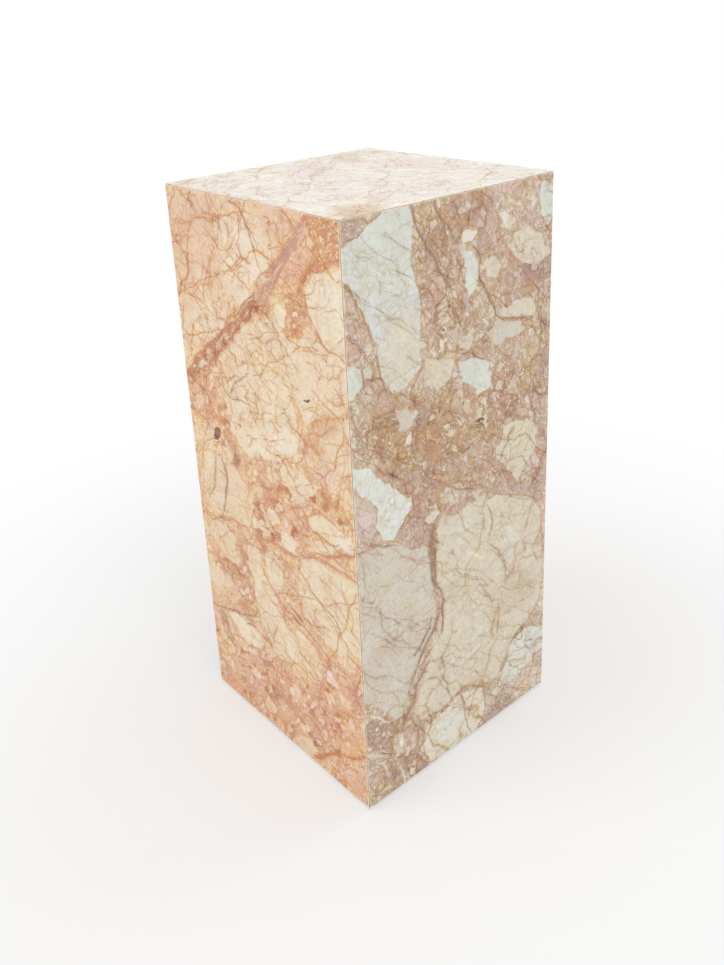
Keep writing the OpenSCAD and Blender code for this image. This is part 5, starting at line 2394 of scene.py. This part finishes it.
@dataclass
class SlabShell:
    """The five polished slabs and the resin between them."""

    sizes: PlinthSizes

    def build(self, groups: StoneGroups) -> None:
        """Builds the slabs and dresses the seams.

        Args:
            groups: The shared node groups.
        """
        polished = PolishedMarble("polished_marble", roughness=0.24).build(groups)
        sawn = SawnStone("slab_back", roughness=0.75).build(groups)
        for slab in self._slabs():
            piece = slab.build(polished, sawn)
            node = f"{slab.face.label}_slab"
            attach(piece, ROOT)
            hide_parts(node)
            LOG.info("%s: %d faces", piece.name, len(piece.data.polygons))
        dress(("_seam",), CuredResin("seam_resin", roughness=0.3).build(groups))

    def _slabs(self) -> list[MitredSlab]:
        """The slabs with their patterns and chips.

        Returns:
            One for each face.
        """
        sizes = self.sizes
        # The hidden back and left take the tints of the front and the right, with the painted light that
        # those hold.
        warm = QuarrySample(7, sizes.width, sizes.height, Tint.PEACH, 0.8,
                            (Tint.CREAM, Tint.WARM_CREAM, Tint.PEACH, Tint.BEIGE, Tint.CREAM),
                            (Tint.PINK_PEACH, Tint.PALE_RUST, Tint.DEEP_PEACH, Tint.MAUVE_PEACH,
                             Tint.SHELL_PINK))
        cool = QuarrySample(23, sizes.depth, sizes.height, Tint.TAN, 0.0,
                            (Tint.BEIGE, Tint.GREY_CREAM, Tint.GREY_BEIGE, Tint.BEIGE, Tint.PALE_GREEN,
                             Tint.TAN),
                            (Tint.PINK_TAN, Tint.MAUVE_TAN, Tint.OCHRE_BROWN, Tint.RED_TAN, Tint.TAN))
        left, right = 0.0, sizes.width
        return [
            MitredSlab(Face.FRONT, sizes, front_pattern(), 100,
                       (Chip((right, 1.0), 9.0, 2.2), Chip((left, 2.0), 5.0, 0.9))),
            MitredSlab(Face.RIGHT, sizes, right_pattern(), 200,
                       (Chip((left, 1.0), 9.0, 2.2), Chip((right, 2.0), 5.0, 0.9))),
            MitredSlab(Face.BACK, sizes, warm.pattern(), 300),
            MitredSlab(Face.LEFT, sizes, cool.pattern(), 400),
            MitredSlab(Face.TOP, sizes, top_pattern(), 500),
        ]


@dataclass
class InnerStrips:
    """Battens, cleats and rails of sawn stone inside the plinth."""

    endings: tuple[str, ...] = ("_batten", "_cleat", "_rail")

    def build(self, groups: StoneGroups) -> None:
        """Gives every strip its sawn finish.

        Args:
            groups: The shared node groups.
        """
        dress(self.endings, SawnStone("sawn_strip", roughness=0.8, tint=Tint.BEIGE).build(groups))


@dataclass
class FeltPads:
    """Round felt pads that the plinth stands on.

    The profile is given as shares of radius and thickness, and the fuzz as a share of the radius.
    """

    segments: int = 48
    fuzz: float = 0.012
    profile: tuple[Point, ...] = (
        (0.90, 0.0), (0.965, 0.06), (0.99, 0.22), (1.0, 0.5), (0.99, 0.78), (0.975, 0.93), (0.94, 1.0))

    def build(self) -> None:
        """Makes a slightly pressed pad in the place of each plain disc."""
        finish = WoolFelt("wool_felt", roughness=0.95, sheen=0.3).build()
        names = [name for name in sorted(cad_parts) if name.endswith("_pad")]
        for number, node in enumerate(names):
            low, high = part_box(node)
            pad = self._pad(f"{node}_felt", low, high, number)
            pad.data.materials.append(finish)
            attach(pad, ROOT)
            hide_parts(node)
            LOG.info("%s: %d faces", pad.name, len(pad.data.polygons))

    def _pad(self, name: str, low: Vector, high: Vector, seed: int) -> Object:
        """Turns one pad, with a soft rim.

        Args:
            name: The pad's name.
            low: Lowest corner of its space.
            high: Highest corner of its space.
            seed: Seed of its fuzz.

        Returns:
            The pad.
        """
        rng = np.random.default_rng(seed)
        radius, thick = (high.x - low.x) / 2, high.z - low.z
        x, y = (low.x + high.x) / 2, (low.y + high.y) / 2
        angles = np.arange(self.segments) * 2 * math.pi / self.segments
        points = []
        for share, rise in self.profile:
            for angle, keep in zip(angles, 1 - rng.uniform(0, self.fuzz, self.segments)):
                reach = radius * share * keep
                across, along = reach * math.cos(angle), reach * math.sin(angle)
                points.append((x + across, y + along, low.z + thick * rise))
        rings = np.arange(len(points)).reshape(len(self.profile), -1)
        faces = []
        for ring, above in zip(rings, rings[1:]):
            faces += np.stack([ring, np.roll(ring, -1), np.roll(above, -1), above], 1).tolist()
        faces += [rings[0][::-1].tolist(), rings[-1].tolist()]
        mesh = bpy.data.meshes.new(name)
        mesh.from_pydata(points, [], faces)
        mesh.validate()
        return add_object(name, mesh)


def aimed(at: Way, aim: Way) -> Quaternion:
    """Turn that points a lamp or a camera from one place at another."""
    return (Vector(aim) - Vector(at)).to_track_quat("-Z", "Y")


@dataclass(frozen=True)
class Lamp:
    """A soft square lamp aimed at a point, in metres and watts."""

    name: str
    at: Way
    aim: Way
    size: float
    power: float
    tone: Colour = (1.0, 1.0, 1.0)

    def place(self) -> None:
        """Adds the lamp to the scene."""
        data = bpy.data.lights.new(self.name, "AREA")
        data.size = self.size
        data.energy = self.power
        data.color = self.tone
        lamp = add_object(self.name, data)
        lamp.location = self.at
        lamp.rotation_euler = aimed(self.at, self.aim).to_euler()


@dataclass(frozen=True)
class CameraFit:
    """The photograph's camera, fitted to the corners of the plinth, in metres, millimetres and degrees."""

    at: Way = (0.7948, -0.6747, 0.8622)
    aim: Way = (-0.0013, -0.0016, 0.489)
    lens: float = 35.31
    sensor: float = 36.0
    shift: float = -0.1477
    roll: float = -2.66

    def place(self) -> None:
        """Adds the camera to the scene."""
        data = bpy.data.cameras.new("camera")
        data.sensor_width = self.sensor
        data.lens = self.lens
        data.shift_y = self.shift
        camera = add_object("camera", data)
        level = aimed(self.at, self.aim).to_matrix().to_4x4()
        roll = Matrix.Rotation(math.radians(self.roll), 4, "Z")
        camera.matrix_world = Matrix.Translation(self.at) @ level @ roll
        bpy.context.scene.camera = camera


@dataclass
class Studio:
    """Plain floor, pale background, soft light and the photograph's camera."""

    floor_reach: float = 9.0
    floor_tone: float = 0.9
    ambient: float = 0.56
    glow: float = 0.35
    fade_start: float = 0.25
    fade_end: float = 1.0
    lamps: tuple[Lamp, ...] = (
        Lamp("key", (-1.3, -2.8, 1.7), (0, 0, 0.35), 2.2, 37, (1.0, 0.99, 0.97)),
        Lamp("right_fill", (2.9, -0.6, 1.4), (0, 0, 0.3), 2.0, 26, (0.98, 0.99, 1.0)),
        Lamp("overhead", (0.3, -0.2, 3.0), (0, 0, 0.6), 1.8, 11),
        Lamp("back_fill", (0.6, 3.0, 1.3), (0, 0, 0.3), 2.0, 26))

    def build(self) -> None:
        """Adds the whole studio."""
        self._floor()
        self._world()
        for lamp in self.lamps:
            lamp.place()
        CameraFit().place()
        LOG.info("studio: floor, background, %d lamps and camera", len(self.lamps))

    def _floor(self) -> None:
        """Adds the floor, which fades to white away from the plinth."""
        reach = self.floor_reach
        mesh = bpy.data.meshes.new("floor")
        corners = [(-reach, -reach, 0), (reach, -reach, 0), (reach, reach, 0), (-reach, reach, 0)]
        mesh.from_pydata(corners, [], [(0, 1, 2, 3)])
        floor = add_object("floor", mesh)
        floor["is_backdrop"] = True
        material, shade, shader = Finish("studio_floor", roughness=0.9).start()
        shade.feed(shader.inputs["Base Color"], (self.floor_tone,) * 3)
        away = shade.add("VectorMath", shade.place(), operation="LENGTH").outputs["Value"]
        fade = shade.step(away, self.fade_start, self.fade_end, self.glow, 1.0)
        seen = self._seen(shade, "Is Glossy Ray")
        glow = shade.add("Emission").outputs[0]
        mixed = shade.add("MixShader", shade.times(fade, seen), shader.outputs[0], glow)
        shade.feed(material.node_tree.nodes["Material Output"].inputs["Surface"], mixed.outputs[0])
        mesh.materials.append(material)

    def _world(self) -> None:
        """Makes the background white to the eye, and gentler as a light."""
        world = bpy.data.worlds.new("studio")
        world.use_nodes = True
        bpy.context.scene.world = world
        shade = Shade(world.node_tree)
        background = world.node_tree.nodes["Background"].inputs
        shade.feed(background["Color"], (1.0, 1.0, 1.0))
        seen = self._seen(shade, "Is Glossy Ray", "Is Transmission Ray")
        shade.feed(background["Strength"], shade.step(seen, 0.0, 1.0, self.ambient, 1.0))
        bpy.context.scene.view_settings.view_transform = "Standard"

    @staticmethod
    def _seen(shade: Shade, *kinds: str) -> Socket:
        """Whether a ray comes from the eye, or is of one of the kinds.

        Args:
            shade: The tree's builder.
            *kinds: The further kinds.

        Returns:
            1 where it does, otherwise 0.
        """
        path = shade.add("LightPath").outputs
        seen = path["Is Camera Ray"]
        for kind in kinds:
            seen = shade.math("MAXIMUM", seen, path[kind])
        return seen


def main() -> None:
    """Builds every sub-assembly, then the studio."""
    logging.basicConfig(level=logging.INFO, format="%(name)s %(message)s")
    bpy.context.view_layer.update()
    groups = StoneGroups()
    sizes = PlinthSizes.from_frame()
    LOG.info("plinth %.1f x %.1f x %.1f mm", sizes.width, sizes.depth, sizes.height)
    SlabShell(sizes).build(groups)
    net_resin = CuredResin("net_resin", roughness=0.45, tint=(190, 180, 150), pale=(226, 220, 202))
    BackingNets().build(net_resin.build(groups))
    InnerStrips().build(groups)
    FeltPads().build()
    Studio().build()


if __name__ == "__main__":
    main()
